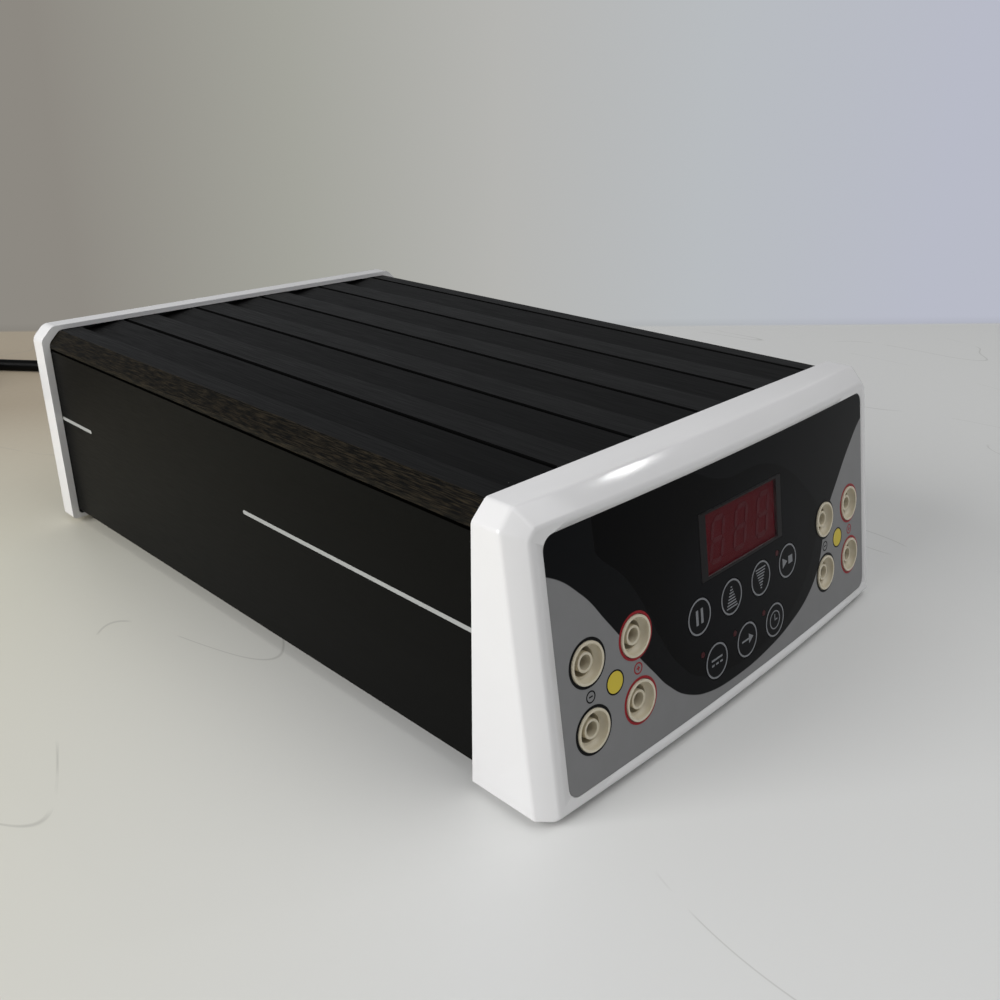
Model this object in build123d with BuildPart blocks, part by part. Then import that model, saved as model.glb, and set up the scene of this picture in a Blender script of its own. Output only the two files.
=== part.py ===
from build123d import *
import math
import os

os.makedirs("parts", exist_ok=True)

# Bench power supply for electrophoresis tanks. Sizes are in millimetres. The origin is on the table
# under the middle of the case, +Z is up and the control panel faces -Y.

# White moulded end frames, called bezels
bezel_width = 182.0
bezel_height = 82.0
bezel_lift = 2.0
bezel_corner = 5.0
bezel_side_wall = 2.8
bezel_top_wall = 1.8
bezel_face_wall = 3.0
front_depth = 27.0
front_lean = 9.7
front_bow = 2.8
front_edge = 4.7
front_bottom_edge = 1.2
rear_depth = 12.0
rear_edge = 3.0
rear_window_width = 146.0
rear_window_height = 56.0
rear_window_radius = 5.0

# Extruded body between the bezels
body_visible_length = 241.5
body_insert = 3.0
body_fit = 0.2
body_wall = 2.5
body_corner = 4.8
seam_below_top = 7.0
seam_gap = 1.0
lap_thickness = 1.2
lap_height = 1.1
lap_fit = 0.15
rib_count = 5
rib_side_margin = 9.0
rib_slot_in = 26.0
ramp_width = 17.6
ramp_drop = 2.2
slot_width = 2.2
slot_depth = 2.8
floor_corner = 2.0
screw_channel_radius = 3.6
screw_channel_inset = 11.0
channel_web = 3.0

# Fasteners
screw_radius = 1.45
screw_hole_radius = 1.6
screw_head_radius = 2.8
screw_head_height = 2.0
screw_head_fit = 0.3
screw_head_edge = 0.5
screw_length = 16.0
board_screw_length = 8.0
inlet_screw_length = 8.0
nut_height = 2.4
boss_wall = 2.9

# Printed film on the front and the clear window in it
film_side_margin = 8.8
film_height = 71.6
film_above_edge = 4.0
film_radius = 4.0
film_thickness = 0.5
film_sink = 0.1
film_fit = 0.15
window_width = 44.8
window_height = 20.4
window_u = 0.9
window_v = 52.5
window_ledge = 0.5
window_side_ledge = 1.2

# Output sockets for 4 mm safety plugs
socket_pitch = 19.0
group_inset = 20.5
group_v = 29.1
socket_radius = 5.9
socket_back_radius = 5.5
socket_proud = 0.3
socket_rim = 0.7
dish_radius = 4.7
dish_depth = 2.0
shroud_bore_radius = 4.0
shroud_bore_depth = 21.0
core_radius = 2.75
core_tip_depth = 0.9
core_tip_bore_radius = 2.05
contact_start = 5.0
contact_bore_radius = 2.0
contact_radius = 2.4
contact_bore_depth = 23.0
tail_radius = 1.0
tail_length = 4.0
socket_flange_radius = 7.4
socket_flange_thickness = 1.5
socket_length = 25.0
socket_fit = 0.15
seat_gap = 0.15

# Round membrane keys, their switches and their lamps
key_pitch = 16.6
key_first_u = -23.7
key_upper_v = 33.0
key_lower_v = 16.2
key_lower_shift = 7.3
key_radius = 5.7
key_fit = 0.2
key_travel = 0.4
key_stem_radius = 1.5
switch_size = 6.0
switch_height = 3.5
switch_well_fit = 0.3
switch_floor_gap = 0.3
stem_engagement = 0.5
lamp_radius = 0.9
lamp_spots = ((-23.2, 20.8), (-6.3, 20.8), (10.4, 21.0), (19.7, 37.7))

# Circuit boards
board_thickness = 1.6
front_board_depth = 12.0
front_board_socket_gap = 2.7
front_board_low = 7.0
front_board_high = 73.0
post_radius = 3.0
post_inset = 4.5
display_width = 39.0
display_height = 19.0
display_gap = 0.5
digit_count = 3
digit_pitch = 12.4
digit_width = 7.2
digit_height = 14.0
digit_slant = 10.0
segment_width = 1.5
segment_gap = 0.25
segment_height = 0.2
output_board_size = 26.0
main_board_bottom = 16.5
main_board_length = 190.0
card_rib = 2.4
card_rib_thickness = 1.6
card_fit = 0.15

# Power entry on the rear panel
rear_panel_thickness = 2.0
rear_panel_fit = 0.2
inlet_x = 44.0
inlet_z = 44.0
inlet_flange_width = 50.0
inlet_flange_height = 34.0
inlet_flange_thickness = 2.5
inlet_screw_pitch = 40.0
inlet_body_width = 27.0
inlet_body_height = 29.0
inlet_body_depth = 24.0
panel_cut_fit = 0.3
inlet_recess_width = 24.4
inlet_recess_height = 16.8
inlet_recess_depth = 17.0
inlet_recess_up = 4.6
inlet_recess_corner = 4.5
pin_width = 2.0
pin_height = 4.0
pin_length = 15.0
pin_spacing = 7.0
earth_up = 2.0
drawer_width = 22.6
drawer_height = 7.4
drawer_depth = 19.0
drawer_down = 9.3
drawer_wall = 0.9
drawer_fit = 0.25
fuse_length = 20.0
fuse_radius = 2.5
fuse_fit = 0.1
rocker_x = 0.0
rocker_z = 44.0
rocker_frame_width = 15.0
rocker_frame_height = 21.0
rocker_frame_proud = 2.0
rocker_body_width = 13.0
rocker_body_height = 19.0
rocker_body_depth = 16.0
rocker_cap_width = 10.4
rocker_cap_height = 15.6
rocker_fit = 0.3
rocker_tilt = 11.0
rocker_pivot_radius = 1.5
rocker_pivot_sink = 1.0
rocker_axle_fit = 0.05

# Parts on the main board
board_side_fit = 0.3
core_length = 54.0
core_height = 44.0
core_depth = 22.0
core_yoke = 8.0
core_middle_leg = 16.0
winding_fit = 0.4
bobbin_flange = 1.5
bobbin_flange_step = 1.2
transformer_x = -32.0
transformer_y = 10.0
capacitor_radius = 11.0
capacitor_height = 34.0
capacitor_x = 45.0
capacitor_y = 62.0
capacitor_pitch = 30.0
capacitor_edge = 1.0
sink_x = 42.0
sink_y = -20.0
sink_length = 80.0
sink_height = 38.0
sink_base = 3.0
sink_fin_count = 6
sink_fin = 1.6
sink_fin_depth = 14.0
transistor_count = 3
transistor_width = 10.0
transistor_height = 15.0
transistor_thickness = 4.5
transistor_pitch = 24.0
lead_width = 0.8
lead_thickness = 0.5
lead_pitch = 2.54
lead_height = 8.0

# Rubber feet
foot_radius = 6.5
foot_top_radius = 7.5
foot_side_inset = 20.0
foot_end_inset = 26.0

# Mains lead
cord_radius = 3.5
lead_body_width = 26.0
lead_body_height = 18.6
lead_body_length = 22.0
lead_body_corner = 4.0
lead_nose_fit = 0.4
lead_gap = 0.3
lead_pin_fit = 0.3
boot_radius = 6.5
boot_tip_radius = 4.6
cord_route = (
    (44.0, 189.4, 48.6), (44.0, 214.0, 48.6), (43.0, 238.0, 33.0), (41.0, 262.0, 14.0),
    (37.0, 288.0, 3.6), (29.0, 317.0, 3.6), (14.0, 345.0, 3.6), (-1.8, 370.2, 3.6),
    (-22.5, 395.0, 3.6), (-39.1, 420.4, 3.6),
)
coil_x = -90.6
coil_y = 407.0
coil_inner_radius = 28.0
coil_outer_radius = 54.0
coil_layers = 2
coil_edge = 3.0
tail_x = -141.05
tail_far_y = 392.0
tail_near_y = 376.0
plug_width = 46.0
plug_length = 48.0
plug_body_height = 21.0
plug_corner = 9.0
plug_edge = 2.5
plug_boot_length = 24.0
plug_pin_inset = 12.0
plug_pin_spacing = 22.2
plug_pin_width = 6.35
plug_pin_thickness = 4.0
plug_pin_height = 17.7
plug_earth_thickness = 8.0
plug_earth_height = 22.7

# Places that follow from the sizes above
lean = math.radians(front_lean)
body_half = bezel_width / 2 - bezel_side_wall - body_fit
body_bottom = bezel_lift + bezel_top_wall + body_fit
bezel_top = bezel_lift + bezel_height
body_top = bezel_top - bezel_top_wall - body_fit
face_reach = front_depth + front_bow * math.cos(lean)
overall_length = face_reach + body_visible_length + rear_depth
front_y = face_reach - overall_length / 2
rear_y = front_y + body_visible_length
body_front = front_y - body_insert
body_rear = rear_y + body_insert
rear_face = rear_y + rear_depth
seam_z = body_top - seam_below_top
body_inner = body_half - body_wall
cover_inner_top = body_top - ramp_drop - body_wall
rib_pitch = (bezel_width - 2 * rib_side_margin) / rib_count
rib_first_slot = rib_side_margin + rib_slot_in - bezel_width / 2
screw_channel_x = body_half - screw_channel_inset
floor_top = body_bottom + body_wall
screw_low_z = floor_top + screw_channel_radius - 0.4
screw_high_z = cover_inner_top - screw_channel_radius - 1.3
screw_spots = [(side * screw_channel_x, z) for side in (-1, 1) for z in (screw_low_z, screw_high_z)]

face_up = Vector(0, math.sin(lean), math.cos(lean))
face_out = Vector(0, -math.cos(lean), math.sin(lean))
face_base = Vector(0, front_y - front_depth, bezel_lift)
bow_radius = ((bezel_width / 2) ** 2 + front_bow**2) / (2 * front_bow)
film_width = bezel_width - 2 * film_side_margin
film_middle_v = film_above_edge + film_height / 2
group_u = film_width / 2 - group_inset


def face_plane(u, v, depth=0.0):
    """Plane on the bowed, leaning front face at u across and v up, its Z pointing out of the case."""
    turn = math.asin(u / bow_radius)
    normal = Vector(math.sin(turn), 0, 0) + face_out * math.cos(turn)
    across = Vector(math.cos(turn), 0, 0) - face_out * math.sin(turn)
    bulge = bow_radius * math.cos(turn) - bow_radius + front_bow
    origin = face_base + Vector(u, 0, 0) + face_up * v + face_out * bulge - normal * depth
    return Plane(origin=origin, x_dir=across, z_dir=normal)


def section_through(plane):
    """Plane that holds another plane's normal, for profiles that turn about it."""
    return Plane(origin=plane.origin, x_dir=plane.x_dir, z_dir=-plane.y_dir)


def across_case(y):
    """Upright plane across the case at y, looking from the back: X to the right, Z up."""
    return Plane(origin=(0, y, 0), x_dir=(1, 0, 0), z_dir=(0, -1, 0))


def along_case(x):
    """Upright plane along the case at x, seen from the right: Y to the right, Z up."""
    return Plane(origin=(x, 0, 0), x_dir=(0, 1, 0), z_dir=(1, 0, 0))


def facing(y, x, z, sign):
    """Plane at a point, its Z pointing to the back of the case for sign 1 and to its front for -1."""
    return Plane(origin=(x, y, z), x_dir=(1, 0, 0), z_dir=(0, sign, 0))


def bowed_block(depth):
    """Everything that lies behind the bowed front face, starting depth below it."""
    half = bezel_width * 0.55
    radius = bow_radius - depth
    edge_y = radius - math.sqrt(radius**2 - half**2) - front_bow + depth
    with BuildPart() as block:
        with BuildSketch(Plane(origin=face_base - face_up * bezel_height / 2, x_dir=(1, 0, 0), z_dir=face_up)):
            with BuildLine():
                ThreePointArc((-half, edge_y), (0, depth - front_bow), (half, edge_y))
                Polyline((half, edge_y), (half, overall_length), (-half, overall_length), (-half, edge_y))
            make_face()
        extrude(amount=2 * bezel_height)
    return block.part


def frame_outline(side_inset, end_inset, corner):
    """Corners of a bezel's outline, pulled in from its sides and its ends."""
    half = bezel_width / 2 - side_inset
    low = bezel_lift + end_inset
    high = bezel_top - end_inset
    left = [(corner - half, high), (-half, high - corner), (-half, low)]
    return left + [(half, low), (half, high - corner), (half - corner, high)]


def finish(builder, name):
    """Names a finished piece and writes its file."""
    builder.part.label = name
    export_step(builder.part, f"parts/{name}.step")


# Places on the control panel
groups = {"left": -group_u, "right": group_u}
half_pitch = socket_pitch / 2
front_board_width = 2 * (group_u - half_pitch - socket_back_radius - front_board_socket_gap)
socket_spots = {}
for side, centre in groups.items():
    for kind, du in (("negative", -half_pitch), ("positive", half_pitch)):
        for level, dv in (("upper", half_pitch), ("lower", -half_pitch)):
            socket_spots[f"{side}_{kind}_{level}"] = (centre + du, group_v + dv)
upper_keys = ("pause", "up", "down", "start")
lower_keys = ("voltage", "current", "time")
key_spots = {}
for index, key in enumerate(upper_keys):
    key_spots[key] = (key_first_u + index * key_pitch, key_upper_v)
for index, key in enumerate(lower_keys):
    key_spots[key] = (key_first_u + key_lower_shift + index * key_pitch, key_lower_v)
post_u = front_board_width / 2 - post_inset
post_spots = [
    (side * post_u, v)
    for side in (-1, 1)
    for v in (front_board_low + post_inset, front_board_high - post_inset)
]
panel = face_plane(0, 0)
film_back = film_sink + film_thickness
board_plane = panel.offset(-front_board_depth)
output_board_depth = socket_length + seat_gap

# Front bezel: a bowed, leaning shell with a recess for the film, sockets, keys and bosses
with BuildPart() as cavity:
    with BuildSketch(across_case(front_y)):
        Polygon(*frame_outline(bezel_side_wall, bezel_top_wall, body_corner), align=None)
    extrude(amount=front_depth + front_bow + 5)
    add(bowed_block(bezel_face_wall), mode=Mode.INTERSECT)

with BuildPart() as film_recess:
    with BuildSketch(panel):
        with Locations((0, film_middle_v)):
            RectangleRounded(film_width + 2 * film_fit, film_height + 2 * film_fit, film_radius)
    extrude(amount=8, both=True)
    add(bowed_block(film_back), mode=Mode.SUBTRACT)

with BuildPart() as front_bosses:
    for x, z in screw_spots:
        with BuildSketch(across_case(body_front)):
            with Locations((x, z)):
                Circle(screw_hole_radius + boss_wall)
        extrude(amount=front_depth + front_bow)
    with BuildSketch(board_plane):
        with Locations(*post_spots):
            Circle(post_radius)
    extrude(amount=front_board_depth)
    for centre in groups.values():
        with BuildSketch(face_plane(centre, group_v, output_board_depth)):
            Circle(post_radius)
        extrude(amount=output_board_depth)
    add(bowed_block(film_back + 0.4), mode=Mode.INTERSECT)

head_seat_y = front_y + screw_high_z * math.tan(lean) - front_depth + 4.5

with BuildPart() as front_bezel:
    with BuildSketch(across_case(front_y)):
        Polygon(*frame_outline(0, 0, bezel_corner), align=None)
    extrude(amount=front_depth + front_bow + 5)
    add(bowed_block(0), mode=Mode.INTERSECT)
    front_face = front_bezel.faces().sort_by(Axis.Y)[0]
    rim_edges = front_face.edges().sort_by(Axis.Z)
    chamfer(rim_edges[1:], length=front_edge)
    front_face = front_bezel.faces().sort_by(Axis.Y)[0]
    chamfer(front_face.edges().sort_by(Axis.Z)[0], length=front_bottom_edge)
    add(cavity.part, mode=Mode.SUBTRACT)
    add(front_bosses.part)
    add(film_recess.part, mode=Mode.SUBTRACT)
    with Locations(*[face_plane(u, v) for u, v in socket_spots.values()]):
        Hole(socket_radius + socket_fit, depth=bezel_face_wall + 3)
    with Locations(*[face_plane(u, v) for u, v in key_spots.values()]):
        Hole(key_radius + 2 * key_fit, depth=bezel_face_wall + 3)
    with Locations(*[face_plane(u, v) for u, v in lamp_spots]):
        Hole(lamp_radius + film_fit, depth=bezel_face_wall + 3)
    with BuildSketch(panel):
        with Locations((window_u, window_v)):
            Rectangle(window_width - 2 * window_side_ledge, window_height - 2 * window_ledge)
    extrude(amount=-bezel_face_wall - 1, mode=Mode.SUBTRACT)
    with BuildSketch(board_plane):
        with Locations(*post_spots):
            Circle(screw_radius + 0.05)
    extrude(amount=board_screw_length, mode=Mode.SUBTRACT)
    for centre in groups.values():
        with BuildSketch(face_plane(centre, group_v, output_board_depth)):
            Circle(screw_radius + 0.05)
        extrude(amount=board_screw_length, mode=Mode.SUBTRACT)
    for x, z in screw_spots:
        with BuildSketch(across_case(body_front)):
            with Locations((x, z)):
                Circle(screw_hole_radius)
        extrude(amount=front_depth + 10, mode=Mode.SUBTRACT)
        with BuildSketch(across_case(head_seat_y)):
            with Locations((x, z)):
                Circle(screw_head_radius + screw_head_fit)
        extrude(amount=front_depth, mode=Mode.SUBTRACT)
finish(front_bezel, "front_bezel")

# Film over the front face, bowed with it, with holes for sockets, keys, lamps and the window
with BuildPart() as panel_film:
    with BuildSketch(panel):
        with Locations((0, film_middle_v)):
            RectangleRounded(film_width, film_height, film_radius - film_fit)
        with Locations((window_u, window_v)):
            Rectangle(window_width + 2 * film_fit, window_height + 2 * film_fit, mode=Mode.SUBTRACT)
    extrude(amount=8, both=True)
    add(bowed_block(film_sink), mode=Mode.INTERSECT)
    add(bowed_block(film_back), mode=Mode.SUBTRACT)
    with Locations(*[face_plane(u, v) for u, v in socket_spots.values()]):
        Hole(socket_radius + socket_fit, depth=film_back + 1)
    with Locations(*[face_plane(u, v) for u, v in key_spots.values()]):
        Hole(key_radius + key_fit, depth=film_back + 1)
    with Locations(*[face_plane(u, v) for u, v in lamp_spots]):
        Hole(lamp_radius + film_fit, depth=film_back + 1)
finish(panel_film, "panel_film")

with BuildPart() as display_window:
    with BuildSketch(panel):
        with Locations((window_u, window_v)):
            Rectangle(window_width, window_height)
    extrude(amount=8, both=True)
    add(bowed_block(film_sink), mode=Mode.INTERSECT)
    add(bowed_block(film_back), mode=Mode.SUBTRACT)
finish(display_window, "display_window")

# Display block behind the window and its seven-segment digits
display_front_depth = film_back + display_gap
with BuildPart() as display_block:
    with BuildSketch(panel.offset(-display_front_depth)):
        with Locations((window_u, window_v)):
            Rectangle(display_width, display_height)
    extrude(amount=display_front_depth - front_board_depth)
finish(display_block, "display_block")


def segment_bar(length, horizontal):
    """Six-sided bar of one display segment, about the current location."""
    half = length / 2 - segment_gap
    point = half - segment_width / 2
    side = segment_width / 2
    outline = [(-half, 0), (-point, side), (point, side), (half, 0), (point, -side), (-point, -side)]
    return outline if horizontal else [(y, x) for x, y in outline]


slant = math.tan(math.radians(digit_slant))
bar_across = digit_width - segment_width
bar_up = (digit_height - segment_width) / 2
segment_plan = [(0, level * bar_up, True) for level in (-1, 0, 1)]
for side in (-1, 1):
    segment_plan += [(side * bar_across / 2, level * bar_up / 2, False) for level in (-1, 1)]
with BuildPart() as display_digits:
    with BuildSketch(panel.offset(-display_front_depth)):
        for digit in range(digit_count):
            middle_u = window_u + (digit - (digit_count - 1) / 2) * digit_pitch
            for du, dv, horizontal in segment_plan:
                bar = segment_bar(bar_across if horizontal else bar_up, horizontal)
                corners = [(middle_u + du + x + (dv + y) * slant, window_v + dv + y) for x, y in bar]
                Polygon(*corners, align=None)
    extrude(amount=segment_height)
finish(display_digits, "display_digits")

# Output sockets: a moulded insulator with a dished mouth, an annular well and a centre tube
flange_depth = bezel_face_wall + seat_gap
flange_back_depth = flange_depth + socket_flange_thickness
for name, (u, v) in socket_spots.items():
    mouth = face_plane(u, v)
    with BuildPart() as socket:
        with BuildSketch(section_through(mouth)):
            with BuildLine():
                Polyline(
                    (core_tip_bore_radius, -core_tip_depth), (core_tip_bore_radius, -contact_start),
                    (contact_radius, -contact_start), (contact_radius, -socket_length),
                    (socket_back_radius, -socket_length), (socket_back_radius, -flange_back_depth),
                    (socket_flange_radius, -flange_back_depth), (socket_flange_radius, -flange_depth),
                    (socket_radius, -flange_depth), (socket_radius, socket_proud),
                    (socket_radius - socket_rim, socket_proud),
                )
                ThreePointArc(
                    (socket_radius - socket_rim, socket_proud),
                    (dish_radius + 0.35, -dish_depth * 0.62), (dish_radius - 0.25, -dish_depth),
                )
                Polyline(
                    (dish_radius - 0.25, -dish_depth), (shroud_bore_radius, -dish_depth),
                    (shroud_bore_radius, -shroud_bore_depth), (core_radius, -shroud_bore_depth),
                    (core_radius, -core_tip_depth), (core_tip_bore_radius, -core_tip_depth),
                )
            make_face()
        revolve(axis=Axis(mouth.origin, mouth.z_dir))
    finish(socket, f"socket_{name}")
    with BuildPart() as contact:
        with BuildSketch(mouth.offset(-contact_bore_depth - 1)):
            Circle(contact_radius)
        extrude(amount=contact_bore_depth + 1 - contact_start)
        with BuildSketch(mouth.offset(-contact_bore_depth)):
            Circle(contact_bore_radius)
        extrude(amount=contact_bore_depth, mode=Mode.SUBTRACT)
        with BuildSketch(mouth.offset(-contact_bore_depth - 1)):
            Circle(tail_radius)
        extrude(amount=-tail_length)
    finish(contact, f"contact_{name}")

# Keys: round caps cut from the film, each with a stem that reaches into its switch
stem_tip_depth = front_board_depth - switch_height + stem_engagement
for name, (u, v) in key_spots.items():
    with BuildPart() as key:
        with BuildSketch(face_plane(u, v, film_sink)):
            Circle(key_radius)
        extrude(amount=-film_thickness)
        with BuildSketch(face_plane(u, v, film_back)):
            Circle(key_stem_radius)
        extrude(amount=film_back - stem_tip_depth)
    finish(key, f"key_{name}")

with BuildPart() as key_switches:
    with BuildSketch(board_plane):
        with Locations(*key_spots.values()):
            Rectangle(switch_size, switch_size)
    extrude(amount=switch_height)
    with BuildSketch(panel.offset(-stem_tip_depth - key_travel - switch_floor_gap)):
        with Locations(*key_spots.values()):
            Circle(key_stem_radius + switch_well_fit)
    extrude(amount=switch_height, mode=Mode.SUBTRACT)
finish(key_switches, "key_switches")

with BuildPart() as key_lamps:
    with BuildSketch(board_plane):
        with Locations(*lamp_spots):
            Circle(lamp_radius)
    extrude(amount=front_board_depth)
    add(bowed_block(film_sink), mode=Mode.INTERSECT)
finish(key_lamps, "key_lamps")

with BuildPart() as front_board:
    with BuildSketch(board_plane):
        with Locations((0, (front_board_low + front_board_high) / 2)):
            RectangleRounded(front_board_width, front_board_high - front_board_low, 1.5)
        with Locations(*post_spots):
            Circle(screw_hole_radius, mode=Mode.SUBTRACT)
    extrude(amount=-board_thickness)
finish(front_board, "front_board")

with BuildPart() as output_boards:
    for side, centre in groups.items():
        with BuildSketch(face_plane(centre, group_v, output_board_depth)):
            RectangleRounded(output_board_size, output_board_size, 1.5)
            Circle(screw_hole_radius, mode=Mode.SUBTRACT)
        extrude(amount=-board_thickness)
    with Locations(*[face_plane(u, v, socket_length) for u, v in socket_spots.values()]):
        Hole(tail_radius + 0.2, depth=board_thickness + 2)
finish(output_boards, "output_boards")

# Extruded cover: brushed ribs on top, each a level land, a drop, a rising ramp and a narrow slot
inner_corner = body_top + body_half - body_corner - body_wall * math.sqrt(2)
cover_low = seam_z + seam_gap / 2
lap_top = cover_low + lap_height
lap_x = body_half - lap_thickness
cover_outline = [(-body_half, cover_low), (-body_half, body_top - body_corner)]
cover_outline += [(body_corner - body_half, body_top)]
for rib in range(rib_count):
    slot_x = rib_first_slot + rib * rib_pitch
    slot_left = slot_x - slot_width / 2
    slot_right = slot_x + slot_width / 2
    cover_outline += [
        (slot_left - ramp_width, body_top), (slot_left - ramp_width, body_top - ramp_drop),
        (slot_left, body_top), (slot_left, body_top - slot_depth),
        (slot_right, body_top - slot_depth), (slot_right, body_top),
    ]
cover_outline += [
    (body_half - body_corner, body_top), (body_half, body_top - body_corner), (body_half, cover_low),
    (lap_x, cover_low), (lap_x, lap_top), (inner_corner - lap_top, lap_top),
    (inner_corner - cover_inner_top, cover_inner_top), (cover_inner_top - inner_corner, cover_inner_top),
    (lap_top - inner_corner, lap_top), (-lap_x, lap_top), (-lap_x, cover_low),
]
body_length = body_rear - body_front
with BuildPart() as top_cover:
    with BuildSketch(across_case(body_rear)):
        Polygon(*cover_outline, align=None)
        for side in (-1, 1):
            with Locations((side * screw_channel_x, screw_high_z)):
                Circle(screw_channel_radius)
            with Locations((side * screw_channel_x, (screw_high_z + cover_inner_top) / 2)):
                Rectangle(channel_web, cover_inner_top - screw_high_z + 1)
            with Locations((side * screw_channel_x, screw_high_z)):
                Circle(screw_radius + 0.05, mode=Mode.SUBTRACT)
    extrude(amount=body_length)
finish(top_cover, "top_cover")

# Extruded base: floor and sides in one, with a tongue behind the cover's skirt and card guides
base_high = seam_z - seam_gap / 2
tongue_x = lap_x - lap_fit
tongue_top = lap_top - lap_fit
guide_low = main_board_bottom - card_fit
guide_high = main_board_bottom + board_thickness + card_fit
base_outline = [
    (-body_half + floor_corner, body_bottom), (body_half - floor_corner, body_bottom),
    (body_half, body_bottom + floor_corner), (body_half, base_high), (tongue_x, base_high),
    (tongue_x, tongue_top), (body_inner, tongue_top), (body_inner, floor_top),
]
base_outline += [(-x, z) for x, z in reversed(base_outline[2:])]
with BuildPart() as base_shell:
    with BuildSketch(across_case(body_rear)):
        Polygon(*base_outline, align=None)
        for side in (-1, 1):
            for z in (guide_low - card_rib_thickness / 2, guide_high + card_rib_thickness / 2):
                with Locations((side * (body_inner - card_rib / 2 + 0.1), z)):
                    Rectangle(card_rib + 0.2, card_rib_thickness)
            with Locations((side * screw_channel_x, screw_low_z)):
                Circle(screw_channel_radius)
                Circle(screw_radius + 0.05, mode=Mode.SUBTRACT)
    extrude(amount=body_length)
finish(base_shell, "base_shell")

# Rear bezel: a frame with a bevelled back, bosses for its screws and a window for the rear panel
panel_front = body_rear
panel_back = body_rear + rear_panel_thickness
with BuildPart() as rear_bezel:
    with BuildSketch(across_case(rear_face)):
        Polygon(*frame_outline(0, 0, bezel_corner), align=None)
    extrude(amount=rear_depth)
    back_face = rear_bezel.faces().sort_by(Axis.Y)[-1]
    chamfer(back_face.edges().sort_by(Axis.Z)[1:], length=rear_edge)
    with BuildSketch(across_case(rear_face - bezel_face_wall)):
        Polygon(*frame_outline(bezel_side_wall, bezel_top_wall, body_corner), align=None)
    extrude(amount=rear_depth, mode=Mode.SUBTRACT)
    with BuildSketch(across_case(rear_face)):
        with Locations((0, bezel_lift + bezel_height / 2)):
            RectangleRounded(rear_window_width, rear_window_height, rear_window_radius)
    extrude(amount=rear_depth, mode=Mode.SUBTRACT)
    for x, z in screw_spots:
        with BuildSketch(across_case(rear_face - bezel_face_wall)):
            with Locations((x, z)):
                Circle(screw_hole_radius + boss_wall)
        extrude(amount=rear_face - bezel_face_wall - panel_back)
    with BuildSketch(across_case(rear_face)):
        with Locations(*screw_spots):
            Circle(screw_hole_radius)
    extrude(amount=rear_depth, mode=Mode.SUBTRACT)
    with BuildSketch(across_case(rear_face)):
        with Locations(*screw_spots):
            Circle(screw_head_radius + screw_head_fit)
    extrude(amount=bezel_face_wall, mode=Mode.SUBTRACT)
finish(rear_bezel, "rear_bezel")

# Rear panel: the plate that is clamped between the body and the rear bezel
recess_z = inlet_z + inlet_recess_up
drawer_z = inlet_z - drawer_down
inlet_screw_spots = [(inlet_x + side * inlet_screw_pitch / 2, inlet_z) for side in (-1, 1)]
with BuildPart() as rear_panel:
    with BuildSketch(across_case(panel_back)):
        inset = bezel_side_wall + rear_panel_fit
        Polygon(*frame_outline(inset, bezel_top_wall + rear_panel_fit, body_corner), align=None)
        with Locations((inlet_x, inlet_z)):
            Rectangle(
                inlet_body_width + 2 * panel_cut_fit, inlet_body_height + 2 * panel_cut_fit,
                mode=Mode.SUBTRACT,
            )
        with Locations(*inlet_screw_spots):
            Circle(screw_hole_radius, mode=Mode.SUBTRACT)
        with Locations((rocker_x, rocker_z)):
            Rectangle(
                rocker_body_width + 2 * panel_cut_fit, rocker_body_height + 2 * panel_cut_fit,
                mode=Mode.SUBTRACT,
            )
        with Locations(*screw_spots):
            Circle(screw_hole_radius, mode=Mode.SUBTRACT)
    extrude(amount=rear_panel_thickness)
finish(rear_panel, "rear_panel")

# Mains inlet: a flanged housing with a plug recess above and a fuse drawer below
flange_back = panel_back + inlet_flange_thickness


def recess_outline(inset):
    """Outline of the plug recess, its two upper corners cut off, pulled in all round."""
    w = inlet_recess_width / 2 - inset
    h = inlet_recess_height / 2 - inset
    c = inlet_recess_corner
    return [(-w, -h), (w, -h), (w, h - c), (w - c, h), (c - w, h), (-w, h - c)]


with BuildPart() as inlet_housing:
    with BuildSketch(across_case(flange_back)):
        with Locations((inlet_x, inlet_z)):
            RectangleRounded(inlet_flange_width, inlet_flange_height, 4)
    extrude(amount=inlet_flange_thickness)
    with BuildSketch(across_case(panel_back)):
        with Locations((inlet_x, inlet_z)):
            Rectangle(inlet_body_width, inlet_body_height)
    extrude(amount=inlet_body_depth)
    with BuildSketch(across_case(flange_back)):
        with Locations((inlet_x, recess_z)):
            Polygon(*recess_outline(0), align=None)
    extrude(amount=inlet_recess_depth, mode=Mode.SUBTRACT)
    with BuildSketch(across_case(flange_back)):
        with Locations((inlet_x, drawer_z)):
            Rectangle(drawer_width + 2 * drawer_fit, drawer_height + 2 * drawer_fit)
    extrude(amount=drawer_depth + drawer_fit, mode=Mode.SUBTRACT)
    with BuildSketch(across_case(flange_back)):
        with Locations(*inlet_screw_spots):
            Circle(screw_hole_radius)
    extrude(amount=inlet_flange_thickness, mode=Mode.SUBTRACT)
finish(inlet_housing, "inlet_housing")

recess_floor = flange_back - inlet_recess_depth
pin_spots = [(-pin_spacing, -earth_up), (pin_spacing, -earth_up), (0, earth_up)]
with BuildPart() as inlet_pins:
    with BuildSketch(across_case(recess_floor)):
        with Locations(*[(inlet_x + x, recess_z + z) for x, z in pin_spots]):
            Rectangle(pin_width, pin_height)
    extrude(amount=-pin_length)
finish(inlet_pins, "inlet_pins")

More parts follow.
